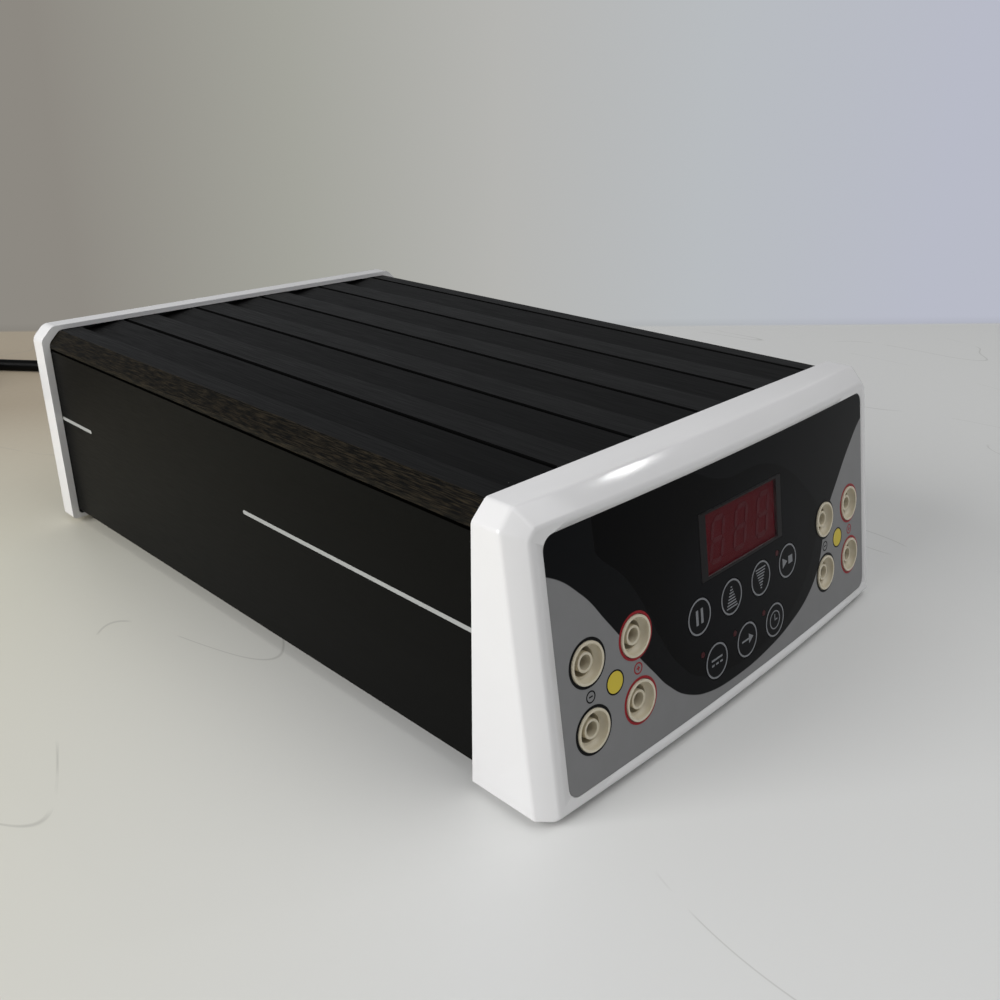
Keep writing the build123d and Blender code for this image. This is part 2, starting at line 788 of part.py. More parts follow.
# Fuse drawer: slides straight out below the recess with a fuse in use and a spare across it
fuse_pocket = 2 * (fuse_radius + fuse_fit)
fuse_inner_y = flange_back - drawer_depth + drawer_wall + fuse_pocket / 2
fuse_spare_y = fuse_inner_y + fuse_pocket + drawer_wall
with BuildPart() as fuse_drawer:
    with BuildSketch(across_case(flange_back)):
        with Locations((inlet_x, drawer_z)):
            Rectangle(drawer_width, drawer_height)
    extrude(amount=drawer_depth)
    for y in (fuse_inner_y, fuse_spare_y):
        with BuildSketch(Plane.XY.offset(drawer_z + drawer_height / 2)):
            with Locations((inlet_x, y)):
                Rectangle(fuse_length + 4 * fuse_fit, fuse_pocket)
        extrude(amount=drawer_wall - drawer_height, mode=Mode.SUBTRACT)
    with BuildSketch(across_case(flange_back)):
        with Locations((inlet_x, drawer_z + drawer_height / 2)):
            Rectangle(drawer_width / 3, 2 * drawer_wall)
    extrude(amount=drawer_wall, mode=Mode.SUBTRACT)
finish(fuse_drawer, "fuse_drawer")

fuse_z = drawer_z - drawer_height / 2 + drawer_wall + fuse_radius + fuse_fit
with BuildPart() as fuse_links:
    with BuildSketch(along_case(inlet_x - fuse_length / 2)):
        with Locations((fuse_inner_y, fuse_z), (fuse_spare_y, fuse_z)):
            Circle(fuse_radius)
    extrude(amount=fuse_length)
finish(fuse_links, "fuse_links")

# Mains switch: a framed housing and a rocker that tips on a pin across it
frame_face = panel_back + rocker_frame_proud
pivot_y = frame_face - rocker_pivot_sink
with BuildPart() as switch_housing:
    with BuildSketch(across_case(frame_face)):
        with Locations((rocker_x, rocker_z)):
            RectangleRounded(rocker_frame_width, rocker_frame_height, 1.5)
    extrude(amount=rocker_frame_proud)
    with BuildSketch(across_case(panel_back)):
        with Locations((rocker_x, rocker_z)):
            Rectangle(rocker_body_width, rocker_body_height)
    extrude(amount=rocker_body_depth)
    with BuildSketch(across_case(frame_face)):
        with Locations((rocker_x, rocker_z)):
            Rectangle(rocker_cap_width + 2 * rocker_fit, rocker_cap_height + 2 * rocker_fit)
    extrude(amount=rocker_body_depth - 2, mode=Mode.SUBTRACT)
    with BuildSketch(along_case(rocker_x - rocker_body_width / 2)):
        with Locations((pivot_y, rocker_z)):
            Circle(rocker_pivot_radius)
    extrude(amount=rocker_body_width)
finish(switch_housing, "switch_housing")

# The rocker's face is two flats that meet in a shallow valley; its swept foot clears the housing
rocker_half = rocker_cap_height / 2
rocker_tip = rocker_half - 0.6
tip_rise = 3.2
valley_rise = 1.6
foot_drop = 5.0
with BuildPart() as switch_rocker:
    with BuildSketch(along_case(rocker_x - rocker_cap_width / 2)):
        with BuildLine():
            Polyline(
                (pivot_y + valley_rise, rocker_z), (pivot_y + tip_rise, rocker_z + rocker_tip),
                (pivot_y - 1.0, rocker_z + rocker_tip), (pivot_y - foot_drop, rocker_z + 3),
                (pivot_y - foot_drop, rocker_z - 3), (pivot_y - 1.0, rocker_z - rocker_tip),
                (pivot_y + tip_rise, rocker_z - rocker_tip), close=True,
            )
        make_face()
        with Locations((pivot_y, rocker_z)):
            Circle(rocker_pivot_radius + rocker_axle_fit, mode=Mode.SUBTRACT)
    extrude(amount=rocker_cap_width)
rocker_axis = Axis((rocker_x, pivot_y, rocker_z), (1, 0, 0))
switch_rocker.part = switch_rocker.part.rotate(rocker_axis, rocker_tilt)
finish(switch_rocker, "switch_rocker")

# Main board in the card guides, with the parts that make the output voltage
board_top = main_board_bottom + board_thickness
with BuildPart() as main_board:
    with BuildSketch(Plane.XY.offset(main_board_bottom)):
        Rectangle(2 * (body_inner - board_side_fit), main_board_length)
    extrude(amount=board_thickness)
finish(main_board, "main_board")

core_base = Plane(origin=(transformer_x, transformer_y, board_top), x_dir=(1, 0, 0), z_dir=(0, -1, 0))
core_window = (core_length - core_middle_leg) / 2 - core_yoke
window_x = (core_middle_leg + core_window) / 2
with BuildPart() as transformer_core:
    with BuildSketch(core_base):
        with Locations((0, core_height / 2)):
            Rectangle(core_length, core_height)
        with Locations((-window_x, core_height / 2), (window_x, core_height / 2)):
            Rectangle(core_window, core_height - 2 * core_yoke, mode=Mode.SUBTRACT)
    extrude(amount=core_depth / 2, both=True)
finish(transformer_core, "transformer_core")

winding_low = board_top + core_yoke + winding_fit
winding_height = core_height - 2 * core_yoke - 2 * winding_fit
winding_reach = core_window - 2 * winding_fit
with BuildPart() as transformer_winding:
    for level, height, inset in (
        (winding_low, winding_height, bobbin_flange_step), (winding_low, bobbin_flange, 0),
        (winding_low + winding_height - bobbin_flange, bobbin_flange, 0),
    ):
        reach = winding_fit + winding_reach - inset
        with BuildSketch(Plane.XY.offset(level)):
            with Locations((transformer_x, transformer_y)):
                RectangleRounded(core_middle_leg + 2 * reach, core_depth + 2 * reach, 4)
        extrude(amount=height)
    with BuildSketch(Plane.XY.offset(winding_low)):
        with Locations((transformer_x, transformer_y)):
            Rectangle(core_middle_leg + 2 * winding_fit, core_depth + 2 * winding_fit)
    extrude(amount=winding_height, mode=Mode.SUBTRACT)
finish(transformer_winding, "transformer_winding")

with BuildPart() as capacitors:
    with BuildSketch(Plane.XY.offset(board_top)):
        with Locations(*[(capacitor_x, capacitor_y + side * capacitor_pitch / 2) for side in (-1, 1)]):
            Circle(capacitor_radius)
    extrude(amount=capacitor_height)
    chamfer(capacitors.faces().group_by(Axis.Z)[-1].edges(), length=capacitor_edge)
finish(capacitors, "capacitors")

sink_pitch = (sink_height - sink_fin) / (sink_fin_count - 1)
with BuildPart() as heat_sink:
    with BuildSketch(Plane(origin=(sink_x, sink_y, board_top), x_dir=(1, 0, 0), z_dir=(0, -1, 0))):
        with Locations((0, sink_height / 2)):
            Rectangle(sink_base, sink_height)
        for fin in range(sink_fin_count):
            with Locations(((sink_base + sink_fin_depth) / 2, sink_fin / 2 + fin * sink_pitch)):
                Rectangle(sink_fin_depth, sink_fin)
    extrude(amount=sink_length / 2, both=True)
finish(heat_sink, "heat_sink")

sink_front = sink_x - sink_base / 2
with BuildPart() as transistors:
    for index in range(transistor_count):
        middle_y = sink_y + (index - (transistor_count - 1) / 2) * transistor_pitch
        with BuildSketch(Plane.XY.offset(board_top + lead_height)):
            with Locations((sink_front - transistor_thickness / 2, middle_y)):
                Rectangle(transistor_thickness, transistor_width)
        extrude(amount=transistor_height)
        with BuildSketch(Plane.XY.offset(board_top)):
            for lead in (-1, 0, 1):
                with Locations((sink_front - transistor_thickness / 2, middle_y + lead * lead_pitch)):
                    Rectangle(lead_thickness, lead_width)
        extrude(amount=lead_height)
finish(transistors, "transistors")


def screw(seat, length):
    """Pan-head screw whose head sits on a plane, its shank running against the plane's Z."""
    with BuildPart() as made:
        with BuildSketch(seat):
            Circle(screw_head_radius)
        extrude(amount=screw_head_height)
        head_edges = made.edges().filter_by(GeomType.CIRCLE).sort_by(Axis(seat.origin, seat.z_dir))
        chamfer(head_edges[-1], length=screw_head_edge)
        with BuildSketch(seat):
            Circle(screw_radius)
        extrude(amount=-length)
    return made.part


# Screws: four under the front film, four at the rear, two at the inlet with nuts, six for boards
with BuildPart() as bezel_screws:
    for x, z in screw_spots:
        add(screw(facing(head_seat_y, x, z, -1), screw_length))
        add(screw(facing(rear_face - bezel_face_wall, x, z, 1), screw_length))
finish(bezel_screws, "bezel_screws")

nut_across = 2 * screw_head_radius
with BuildPart() as inlet_screws:
    for x, z in inlet_screw_spots:
        add(screw(facing(flange_back, x, z, 1), inlet_screw_length))
        with BuildSketch(across_case(panel_front)):
            with Locations((x, z)):
                RegularPolygon(nut_across / 2, 6, major_radius=False)
                Circle(screw_hole_radius, mode=Mode.SUBTRACT)
        extrude(amount=nut_height)
finish(inlet_screws, "inlet_screws")

board_back = panel.offset(-front_board_depth - board_thickness)
screw_seats = [board_back * Pos(u, v, 0) for u, v in post_spots]
for centre in groups.values():
    screw_seats.append(face_plane(centre, group_v, output_board_depth + board_thickness).location)
with BuildPart() as board_screws:
    for seat in screw_seats:
        board_side = Plane(origin=seat.position, x_dir=(1, 0, 0), z_dir=-Plane(seat).z_dir)
        add(screw(board_side, board_screw_length))
finish(board_screws, "board_screws")

# Rubber feet, glued under the base
foot_x = body_half - foot_side_inset
for side, x in (("left", -foot_x), ("right", foot_x)):
    for end, y in (("front", body_front + foot_end_inset), ("rear", body_rear - foot_end_inset)):
        with BuildPart() as foot:
            with BuildSketch(Plane(origin=(x, y, 0))):
                Circle(foot_radius)
            with BuildSketch(Plane(origin=(x, y, body_bottom))):
                Circle(foot_top_radius)
            loft()
        finish(foot, f"foot_{end}_{side}")

# Mains lead: connector pushed into the inlet, with a tapered strain relief
lead_face = flange_back + lead_gap
lead_back = lead_face + lead_body_length
boot_end = cord_route[0][1]
with BuildPart() as lead_connector:
    with BuildSketch(across_case(lead_back)):
        with Locations((inlet_x, recess_z)):
            RectangleRounded(lead_body_width, lead_body_height, lead_body_corner)
    extrude(amount=lead_body_length)
    with BuildSketch(across_case(lead_face)):
        with Locations((inlet_x, recess_z)):
            Polygon(*recess_outline(lead_nose_fit), align=None)
    extrude(amount=inlet_recess_depth - lead_nose_fit)
    with BuildSketch(across_case(recess_floor)):
        with Locations(*[(inlet_x + x, recess_z + z) for x, z in pin_spots]):
            Rectangle(pin_width + 2 * lead_pin_fit, pin_height + 2 * lead_pin_fit)
    extrude(amount=-pin_length - lead_nose_fit, mode=Mode.SUBTRACT)
    with BuildSketch(facing(lead_back, inlet_x, recess_z, 1)):
        Circle(boot_radius)
    with BuildSketch(facing(boot_end, inlet_x, recess_z, 1)):
        Circle(boot_tip_radius)
    loft()
finish(lead_connector, "lead_connector")

# The lead's route as straight runs joined by arcs as large as the runs allow
corners = [Vector(*point) for point in cord_route]
corner_radii = []
for before, corner, after in zip(corners, corners[1:], corners[2:]):
    shorter = min((corner - before).length, (after - corner).length)
    turn = math.radians((corner - before).get_angle(after - corner))
    corner_radii.append(0.45 * shorter / math.tan(turn / 2))
print("lead radii", [round(radius) for radius in corner_radii])
tail_z = (2 * coil_layers - 1) * cord_radius
with BuildPart() as mains_lead:
    with BuildLine():
        FilletPolyline(*corners, radius=corner_radii)
    with BuildSketch(Plane(origin=corners[0], z_dir=corners[1] - corners[0])):
        Circle(cord_radius)
    sweep()
    with BuildSketch(facing(tail_far_y, tail_x, tail_z, -1)):
        Circle(cord_radius)
    extrude(amount=tail_far_y - tail_near_y)
finish(mains_lead, "mains_lead")

# The rest of the lead in a flat coil, turns beside and on each other
with BuildPart() as lead_coil:
    with BuildSketch(Plane(origin=(coil_x, coil_y, 0))):
        Circle(coil_outer_radius)
        Circle(coil_inner_radius, mode=Mode.SUBTRACT)
    extrude(amount=coil_layers * 2 * cord_radius)
    chamfer(lead_coil.edges().filter_by(GeomType.CIRCLE), length=coil_edge / 2)
finish(lead_coil, "lead_coil")

# Plug with three flat pins, lying on its back
plug_near_y = tail_near_y - plug_boot_length
plug_middle_y = plug_near_y - plug_length / 2
with BuildPart() as mains_plug:
    with BuildSketch(Plane(origin=(tail_x, plug_middle_y, 0))):
        RectangleRounded(plug_width, plug_length, plug_corner)
    extrude(amount=plug_body_height)
    chamfer(mains_plug.faces().sort_by(Axis.Z)[0].edges(), length=plug_edge)
    with BuildSketch(facing(plug_near_y, tail_x, tail_z, 1)):
        Circle(boot_radius)
    with BuildSketch(facing(tail_near_y, tail_x, tail_z, 1)):
        Circle(boot_tip_radius)
    loft()
finish(mains_plug, "mains_plug")

live_y = plug_near_y - plug_pin_inset
with BuildPart() as plug_pins:
    with BuildSketch(Plane.XY.offset(plug_body_height)):
        with Locations((tail_x - plug_pin_spacing / 2, live_y), (tail_x + plug_pin_spacing / 2, live_y)):
            Rectangle(plug_pin_width, plug_pin_thickness)
    extrude(amount=plug_pin_height)
    with BuildSketch(Plane.XY.offset(plug_body_height)):
        with Locations((tail_x, live_y - plug_pin_spacing)):
            Rectangle(plug_pin_thickness, plug_earth_thickness)
    extrude(amount=plug_earth_height)
finish(plug_pins, "plug_pins")
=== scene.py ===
import math

import bmesh
import bpy
from mathutils import Matrix, Vector


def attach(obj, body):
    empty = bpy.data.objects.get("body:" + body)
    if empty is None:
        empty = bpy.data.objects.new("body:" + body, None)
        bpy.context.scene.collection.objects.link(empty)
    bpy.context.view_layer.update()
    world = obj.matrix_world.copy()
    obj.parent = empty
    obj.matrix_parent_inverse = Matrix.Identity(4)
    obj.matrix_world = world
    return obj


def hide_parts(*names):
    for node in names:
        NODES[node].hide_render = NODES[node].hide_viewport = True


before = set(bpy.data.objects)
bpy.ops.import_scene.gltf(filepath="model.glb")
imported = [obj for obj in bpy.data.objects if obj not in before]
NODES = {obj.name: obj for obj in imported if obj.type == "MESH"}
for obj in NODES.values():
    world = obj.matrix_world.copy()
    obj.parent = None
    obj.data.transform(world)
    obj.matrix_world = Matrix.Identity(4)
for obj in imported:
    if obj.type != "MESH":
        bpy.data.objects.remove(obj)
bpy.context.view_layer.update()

bl_info = {
    "name": "Electrophoresis power supply",
    "version": (1, 0, 0),
    "blender": (4, 5, 0),
    "location": "3D View > Sidebar > Power supply",
    "description": "Finishes and fine pieces of a bench power supply for electrophoresis tanks",
    "category": "Object",
}

MM = 0.001

# Lengths from here on are in millimetres, except where a comment says metres

# Half width of the extruded body, and where its edge bevels start and are full
BODY_HALF = 88.0
BEVEL_START = BODY_HALF - 5.2
BEVEL_FULL = BODY_HALF - 5.0

# The bowed, leaning front face: its lean, its ways up and out, the foot of its middle line and its bow
FACE_LEAN = math.radians(9.7)
FACE_UP = Vector((0, math.sin(FACE_LEAN), math.cos(FACE_LEAN)))
FACE_OUT = Vector((0, -math.cos(FACE_LEAN), math.sin(FACE_LEAN)))
FACE_BASE = Vector((0, -138.87, 2))
FACE_BOW = 2.8
BEZEL_HALF = 91.0
BOW_RADIUS = (BEZEL_HALF**2 + FACE_BOW**2) / (2 * FACE_BOW)
FILM_SINK = 0.1

# Outer edges that each bezel's mould rounds: they lie beyond this half width, low or high limit, and this end
FRONT_RIM = (85.5, 3.0, 77.0)
FRONT_RIM_END = -115.0
REAR_RIM = (86.0, 5.0, 79.5)
REAR_RIM_END = 133.0
RIM_ANGLE = math.radians(20)
RIM_RADIUS = 1.8
RIM_SEGMENTS = 5

# A print's underside and top over its surface, and how finely rings and strips are stepped
PRINT_LOW = -0.06
PRINT_HIGH = 0.03
RING_STEPS = 64
STRIP_STEPS = 12

# Places on the front face, across and up from its lower edge, and radii and sizes of the print there. The
# upright of a plus sign stands a hair over its bar, and the group mark a hair under its ring.
SOCKET_RADIUS = 5.9
SOCKET_RING = (SOCKET_RADIUS + 0.18, SOCKET_RADIUS + 0.95)
SOCKET_HALF_PITCH = 9.5
GROUP_U = 61.7
GROUP_V = 29.1
SIGN_RING = (1.35, 1.75)
SIGN_BAR = (1.4, 0.4)
PLUS_HIGH = 0.032
MARK_RING = (3.05, 3.5)
MARK_DISC = (6.3, 6.2)
MARK_HIGH = 0.02
KEY_RADIUS = 5.7
KEY_RING = (KEY_RADIUS - 0.7, KEY_RADIUS - 0.15)
CLOCK_RING = (2.7, 3.1)
KEYS = {
    "pause": (-23.7, 33.0), "up": (-7.1, 33.0), "down": (9.5, 33.0), "start": (26.1, 33.0),
    "voltage": (-16.4, 16.2), "current": (0.2, 16.2), "time": (16.8, 16.2),
}

# Printed border of the window: left, right, bottom and top of its four strips
WINDOW_BORDER = (
    (-21.5, -18.2, 42.3, 62.7), (20.5, 23.3, 42.3, 62.7), (-18.2, 20.5, 42.3, 43.2),
    (-18.2, 20.5, 61.9, 62.7),
)

# Half width of the film print's own scale, how far its ink bleeds, and the oval that is blue-black, as shares
# of its half size where the blue starts to fade and is gone
FILM_SPAN = 90.0
PRINT_BLEED = 0.12
KEYPAD_MIDDLE = (3.5, 40.0, 0.0)
KEYPAD_HALF = (45.0, 30.0, 1e6)
KEYPAD_FADE = (0.65, 1.0)

# Lines of the film's print, across and up: lower edge of the charcoal field, lower and upper edge of the
# black middle shape
FIELD_EDGE = (
    (-90, 68), (-82, 65.6), (-71, 57.2), (-62.9, 47), (-51.3, 31.8), (-45.7, 25), (-40.4, 18.8), (-31, 11.6),
    (-20.6, 8), (-6, 6.9), (11.4, 8), (27.3, 11.3), (38.7, 16), (47.1, 24), (53.5, 39.6), (62.8, 49.9),
    (71.8, 58.6), (82.4, 66.6), (90, 70),
)
MIDDLE_LOW_EDGE = (
    (-90, 89), (-65.6, 89), (-65, 67), (-54.4, 56), (-46.9, 44.2), (-42.2, 34.5), (-34.9, 23.3), (-25.3, 15),
    (-12, 11), (4, 10.4), (20, 12.6), (32, 18), (41, 27), (46.4, 36), (48.2, 44), (49.5, 89), (90, 89),
)
MIDDLE_HIGH_EDGE = (
    (-90, 84), (-40, 83), (-26, 77), (-6, 69.4), (4, 69.2), (14, 68.3), (29, 62), (41, 52), (47.3, 44.6),
    (49, 38), (90, 20),
)

# White lines on the case's sides: their two stretches along it, their height and their width
SIDE_LINES = ((-111.8, -3.6), (104.0, 129.6))
SIDE_LINE_Z = 46.6
SIDE_LINE_WIDTH = 1.4

# Marks on the rocker: places along and up, with the slope of the face's normal there, and their sizes
ROCKER_BAR_PLACE = (137.3, 48.0, -0.03)
ROCKER_BAR = (0.55, 3.6)
ROCKER_RING_PLACE = (138.67, 40.93, 0.402)
ROCKER_RING = (1.25, 1.75)

# The lead's route from its connector, the same points as the CAD tube, and its tail into the plug
LEAD_RADIUS = 3.5
LEAD_ROUTE = (
    (44.0, 189.4, 48.6), (44.0, 214.0, 48.6), (43.0, 238.0, 33.0), (41.0, 262.0, 14.0),
    (37.0, 288.0, 3.6), (29.0, 317.0, 3.6), (14.0, 345.0, 3.6), (-1.8, 370.2, 3.6),
    (-22.5, 395.0, 3.6), (-39.1, 420.4, 3.6),
)
LEAD_TAIL = ((-141.05, 392.0, 10.5), (-141.05, 376.0, 10.5))

# The coil, wound inwards on the bench and, a layer higher, out again; it climbs in 1 / COIL_CLIMB of a turn
COIL_CENTRE = (-90.6, 407.0)
COIL_OUTER = 50.45
COIL_INNER = 31.5
COIL_ENTRY = math.radians(33.2)
COIL_TURNS = 5.408
COIL_POINTS_PER_TURN = 16
COIL_LIFT = 0.05
COIL_LAYER = 7.0
COIL_CLIMB = 6

# Hook strap round the coil, and its free end folded flat on top, as shares of the strap's own half width
TIE_ANGLE = math.radians(-62)
TIE_PLAY = 0.3
TIE_MIDDLE_Z = 7.95
TIE_HALF_HEIGHT = 7.0
TIE_CORNER = 3.5
TIE_THICKNESS = 0.9
TIE_WIDTH = 14.0
FLAP_HALF_SHARE = 0.45
FLAP_PLACE_SHARE = -0.3
FLAP_HALF_HEIGHT = 0.45
FLAP_CORNER = 0.4
FLAP_THICKNESS = 0.5
FLAP_RISE = 8.3

# Boots of the connector and the plug: middle across and up, and their start and end along Y
BOOTS = (("lead_connector", (44.0, 48.6), 159.4, 189.4), ("mains_plug", (-141.05, 10.5), 352.0, 376.0))
BOOT_RADIUS = 6.5
BOOT_TIP_RADIUS = 4.6
RIB_COUNT = 6
RIB_STEPS = 40

# Where a rib sits in its share of the boot, and its corners, out from the boot and along it
RIB_SHIFT = 0.8
RIB_PROFILE = ((-0.7, -0.9), (0.15, -0.9), (0.5, -0.5), (0.5, 0.5), (0.15, 0.9), (-0.7, 0.9))

# Stretches along Y whose sharp edges the connector's and the plug's mould rounds
GRIP_RANGES = ((137.6, 159.6), (300.0, 353.0))
GRIP_ANGLE = math.radians(40)
GRIP_RADIUS = 1.1
GRIP_SEGMENTS = 3

# How near vertices are merged, everywhere and beside an edge to be rounded, and how flat faces are joined
MERGE_GAP = 0.002
SLIVER = 0.12
FLAT_ANGLE = math.radians(0.6)

# The camera's place in metres, its turn about the upright, its dip below level and its roll
CAMERA_PLACE = (-0.23880, -0.26398, 0.17642)
CAMERA_TURN = -0.80364
CAMERA_DIP = 0.40859
CAMERA_ROLL = 0.00588
SENSOR_WIDTH = 36.0

# Lamps: name, place in metres, side of the square, and share of the window light's power
LAMPS = (
    ("window_light", (-1.5, 0.4, 0.75), 1.1, 1.0),
    ("ceiling_light", (0.3, -0.7, 1.7), 1.6, 0.5),
    ("far_window_light", (0.94, -0.45, 0.95), 0.07, 0.013),
)
ROOM_COLOUR = (0.95, 0.97, 1.0, 1)

# The bench in metres: its radius, the level ways into and across the view, and the stretches over which a
# warm painted shade on its left deepens into the view and ends across it
BENCH_RADIUS = 12.0
VIEW_WAY = (0.72, 0.694, 0.0)
ACROSS_WAY = (0.694, -0.72, 0.0)
BENCH_SHADE_DEPTH = (0.0, 0.2)
BENCH_SHADE_EDGE = (-0.18, 0.02)

# Its scratches follow the middle level of a noise: the grain and stretch of that, their soft half width as
# shares of it, the grain of the patches that they keep to, a patch's soft rim, and how far they have faded
SCRATCH_GRAIN = 150
SCRATCH_STRETCH = (1, 0.35, 1)
SCRATCH_WIDTH = (0.0002, 0.0012)
PATCH_GRAIN = 60
PATCH_RIM = (0.5, 0.54)
SCRATCH_FADED = 0.65

# The wall's tone: the way it lies and how far, in metres, its soft line and the shade at its foot, and its
# greys from left to right, with painted shade on the left, over slopes of the view from -WALL_SPAN to
# WALL_SPAN
WALL_WAY = (0.677, 0.736, 0.0)
WALL_LINE = 0.380
WALL_LINE_SOFT = 0.003
WALL_FOOT = 0.025
WALL_FOOT_SHADE = 0.9
WALL_SPAN = 0.5
WALL_AHEAD = 0.3
WALL_TONES = ((0.07, "#8d8982"), (0.3, "#a3a39b"), (0.5, "#b5b5b2"), (0.7, "#b8bcc0"), (0.93, "#b8bbc8"))

# Shares of a noise between which most of it lies, and how many grains wide the clouds of a finish are
NOISE_LOW = 0.3
NOISE_HIGH = 0.7
CLOUD_GRAINS = 14

# Finishes of one stuff: two near shades, grain and relief, roughness and its spread, and the shader's other
# sockets. A grain too fine to show is drawn at half a millimetre. Each comment says what the eye gets.
FINISHES = {
    # PVC drawn round the cores: black, with a dull sheen along its top
    "soft_pvc_jacket": (
        "#050505", "#080808", 1.2, 0.006, 0.42, 0.06, {"IOR": 1.53, "Specular IOR Level": 0.05},
    ),
    # PVC moulded in a sparked tool: greyer than the jacket, finely matt
    "moulded_pvc": ("#0a0a0b", "#101011", 0.8, 0.02, 0.5, 0.05, {"IOR": 1.53, "Specular IOR Level": 0.3}),
    # Nylon loops woven to a strap: no gloss, a coarse nap
    "woven_hook_strap": ("#0d0d0e", "#1b1b1d", 0.7, 0.12, 0.8, 0.05, {"Specular IOR Level": 0.1}),
    # The cover's anodised aluminium left as extruded: smooth, satin, with faint draw lines
    "satin_anodised_aluminium": (
        "#030302", "#060605", 0.5, 0.003, 0.36, 0.04, {"IOR": 1.62, "Specular IOR Level": 0.038},
    ),
    # Steel under baked powder: black with a fine orange peel
    "powder_coated_steel": ("#101011", "#161617", 0.6, 0.03, 0.55, 0.05, {}),
    # Moulded PBT: black with an even half gloss
    "moulded_pbt_black": ("#0d0d0e", "#131314", 0.7, 0.008, 0.38, 0.05, {"IOR": 1.55}),
    # Moulded rubber: dull black with the tool's grain
    "moulded_rubber": ("#101010", "#181818", 0.6, 0.03, 0.75, 0.06, {}),
    # Nickel plate on brass: bright, a little warm
    "nickel_plate": ("#c9c6bf", "#b9b5ad", 0.5, 0.003, 0.22, 0.05, {"Metallic": 1.0}),
    # Zinc plate on steel: grey and slightly cloudy
    "zinc_plate": ("#a9acb0", "#8f9397", 0.5, 0.006, 0.3, 0.06, {"Metallic": 1.0}),
    # White ink off a soft pad: an even, dull white
    "pad_print_white": ("#c9cac8", "#bfc0be", 0.5, 0.004, 0.5, 0.04, {}),
    # Ink through a mesh on to anodising: pale grey, since the black shows through a little
    "screen_print_grey": ("#a2a3a1", "#989997", 0.5, 0.004, 0.5, 0.04, {}),
    # Nylon without pigment, moulded: warm ivory, faintly mottled, with a soft gloss
    "moulded_nylon_ivory": ("#d9d1be", "#c7bca1", 0.35, 0.01, 0.34, 0.05, {"IOR": 1.53}),
    # Turned brass without plating: yellow and a little tarnished
    "bare_brass": ("#9c8248", "#86703c", 0.6, 0.004, 0.3, 0.06, {"Metallic": 1.0}),
    # Inks behind a matt film: flat colours with hardly a reflection
    "screen_print_black": ("#040405", "#060607", 0.5, 0.002, 0.42, 0.03, {"Specular IOR Level": 0.08}),
    "screen_print_red": ("#951822", "#8c1620", 0.5, 0.002, 0.42, 0.03, {"Specular IOR Level": 0.15}),
    "screen_print_yellow": ("#d2bd2c", "#c8b226", 0.5, 0.002, 0.42, 0.03, {}),
    "screen_print_window": ("#0e0b0d", "#110e10", 0.5, 0.001, 0.3, 0.03, {"Specular IOR Level": 0.1}),
    # Ink with fine metal flakes: a dull silver grey
    "screen_print_silver": ("#7a7c80", "#717377", 0.5, 0.002, 0.45, 0.03, {}),
    # The panel's film over the keys, printed from behind: blue-black and smooth, with a very fine matt
    "printed_key_film": (
        "#08090c", "#0a0b0f", 0.5, 0.0006, 0.25, 0.02, {"IOR": 1.5, "Specular IOR Level": 0.045},
    ),
    # Cast epoxy with a diffuser: deep red while the lamp is off
    "diffused_red_epoxy": ("#3a0d12", "#451016", 0.5, 0.004, 0.3, 0.04, {"Specular IOR Level": 0.1}),
    # The display's cast body, bright enough to show dark red through the smoked window
    "display_epoxy_dark_red": ("#c0283a", "#b62334", 0.8, 0.004, 0.4, 0.04, {}),
    # Milky epoxy in the segments: paler than the body even while unlit
    "unlit_segment_epoxy": ("#c05a66", "#b8525e", 0.6, 0.004, 0.35, 0.04, {}),
    # Solder mask on glass-fibre board: dark green with the weave just showing
    "solder_mask_green": ("#164a2b", "#123f24", 1.2, 0.02, 0.35, 0.05, {}),
    # Pressed and fired ferrite: dark grey, like fine stone
    "sintered_ferrite": ("#2b2b2d", "#232325", 0.4, 0.03, 0.65, 0.06, {}),
    # Polyester tape over the winding: amber with a gloss
    "polyester_tape": ("#c8a23a", "#b99330", 0.8, 0.02, 0.3, 0.05, {}),
    # PVC shrunk on to a can: dark blue and shiny
    "shrink_sleeve": ("#141a3a", "#101530", 0.8, 0.01, 0.25, 0.04, {}),
    # Aluminium as extruded, without anodising: light grey metal, slightly dull
    "plain_aluminium": ("#9a9ca0", "#8d8f93", 0.5, 0.01, 0.4, 0.06, {"Metallic": 1.0}),
    # Drawn glass: pale, very smooth
    "fuse_glass_tube": ("#dfe4e4", "#d5dada", 1.0, 0.001, 0.05, 0.01, {"IOR": 1.5}),
}


def linear(code):
    """Linear colour of an sRGB hex code."""
    shares = [int(code[i:i + 2], 16) / 255 for i in (1, 3, 5)]
    return [c / 12.92 if c <= 0.04045 else ((c + 0.055) / 1.055) ** 2.4 for c in shares] + [1.0]


def add_node(tree, kind, inputs=None, **settings):
    """Adds a node, sets it up, and feeds its sockets from values, hex codes or other nodes' outputs."""
    made = tree.nodes.new(kind)
    for name, value in settings.items():
        setattr(made, name, value)
    for key, value in (inputs or {}).items():
        if isinstance(value, bpy.types.NodeSocket):
            tree.links.new(value, made.inputs[key])
        else:
            made.inputs[key].default_value = linear(value) if isinstance(value, str) else value
    return made


def new_material(name):
    """Empty node material with its shader and output; returns the material, its tree and the shader."""
    material = bpy.data.materials.new(name)
    material.use_nodes = True
    tree = material.node_tree
    tree.nodes.clear()
    shader = add_node(tree, "ShaderNodeBsdfPrincipled")
    add_node(tree, "ShaderNodeOutputMaterial", {"Surface": shader.outputs[0]})
    return material, tree, shader


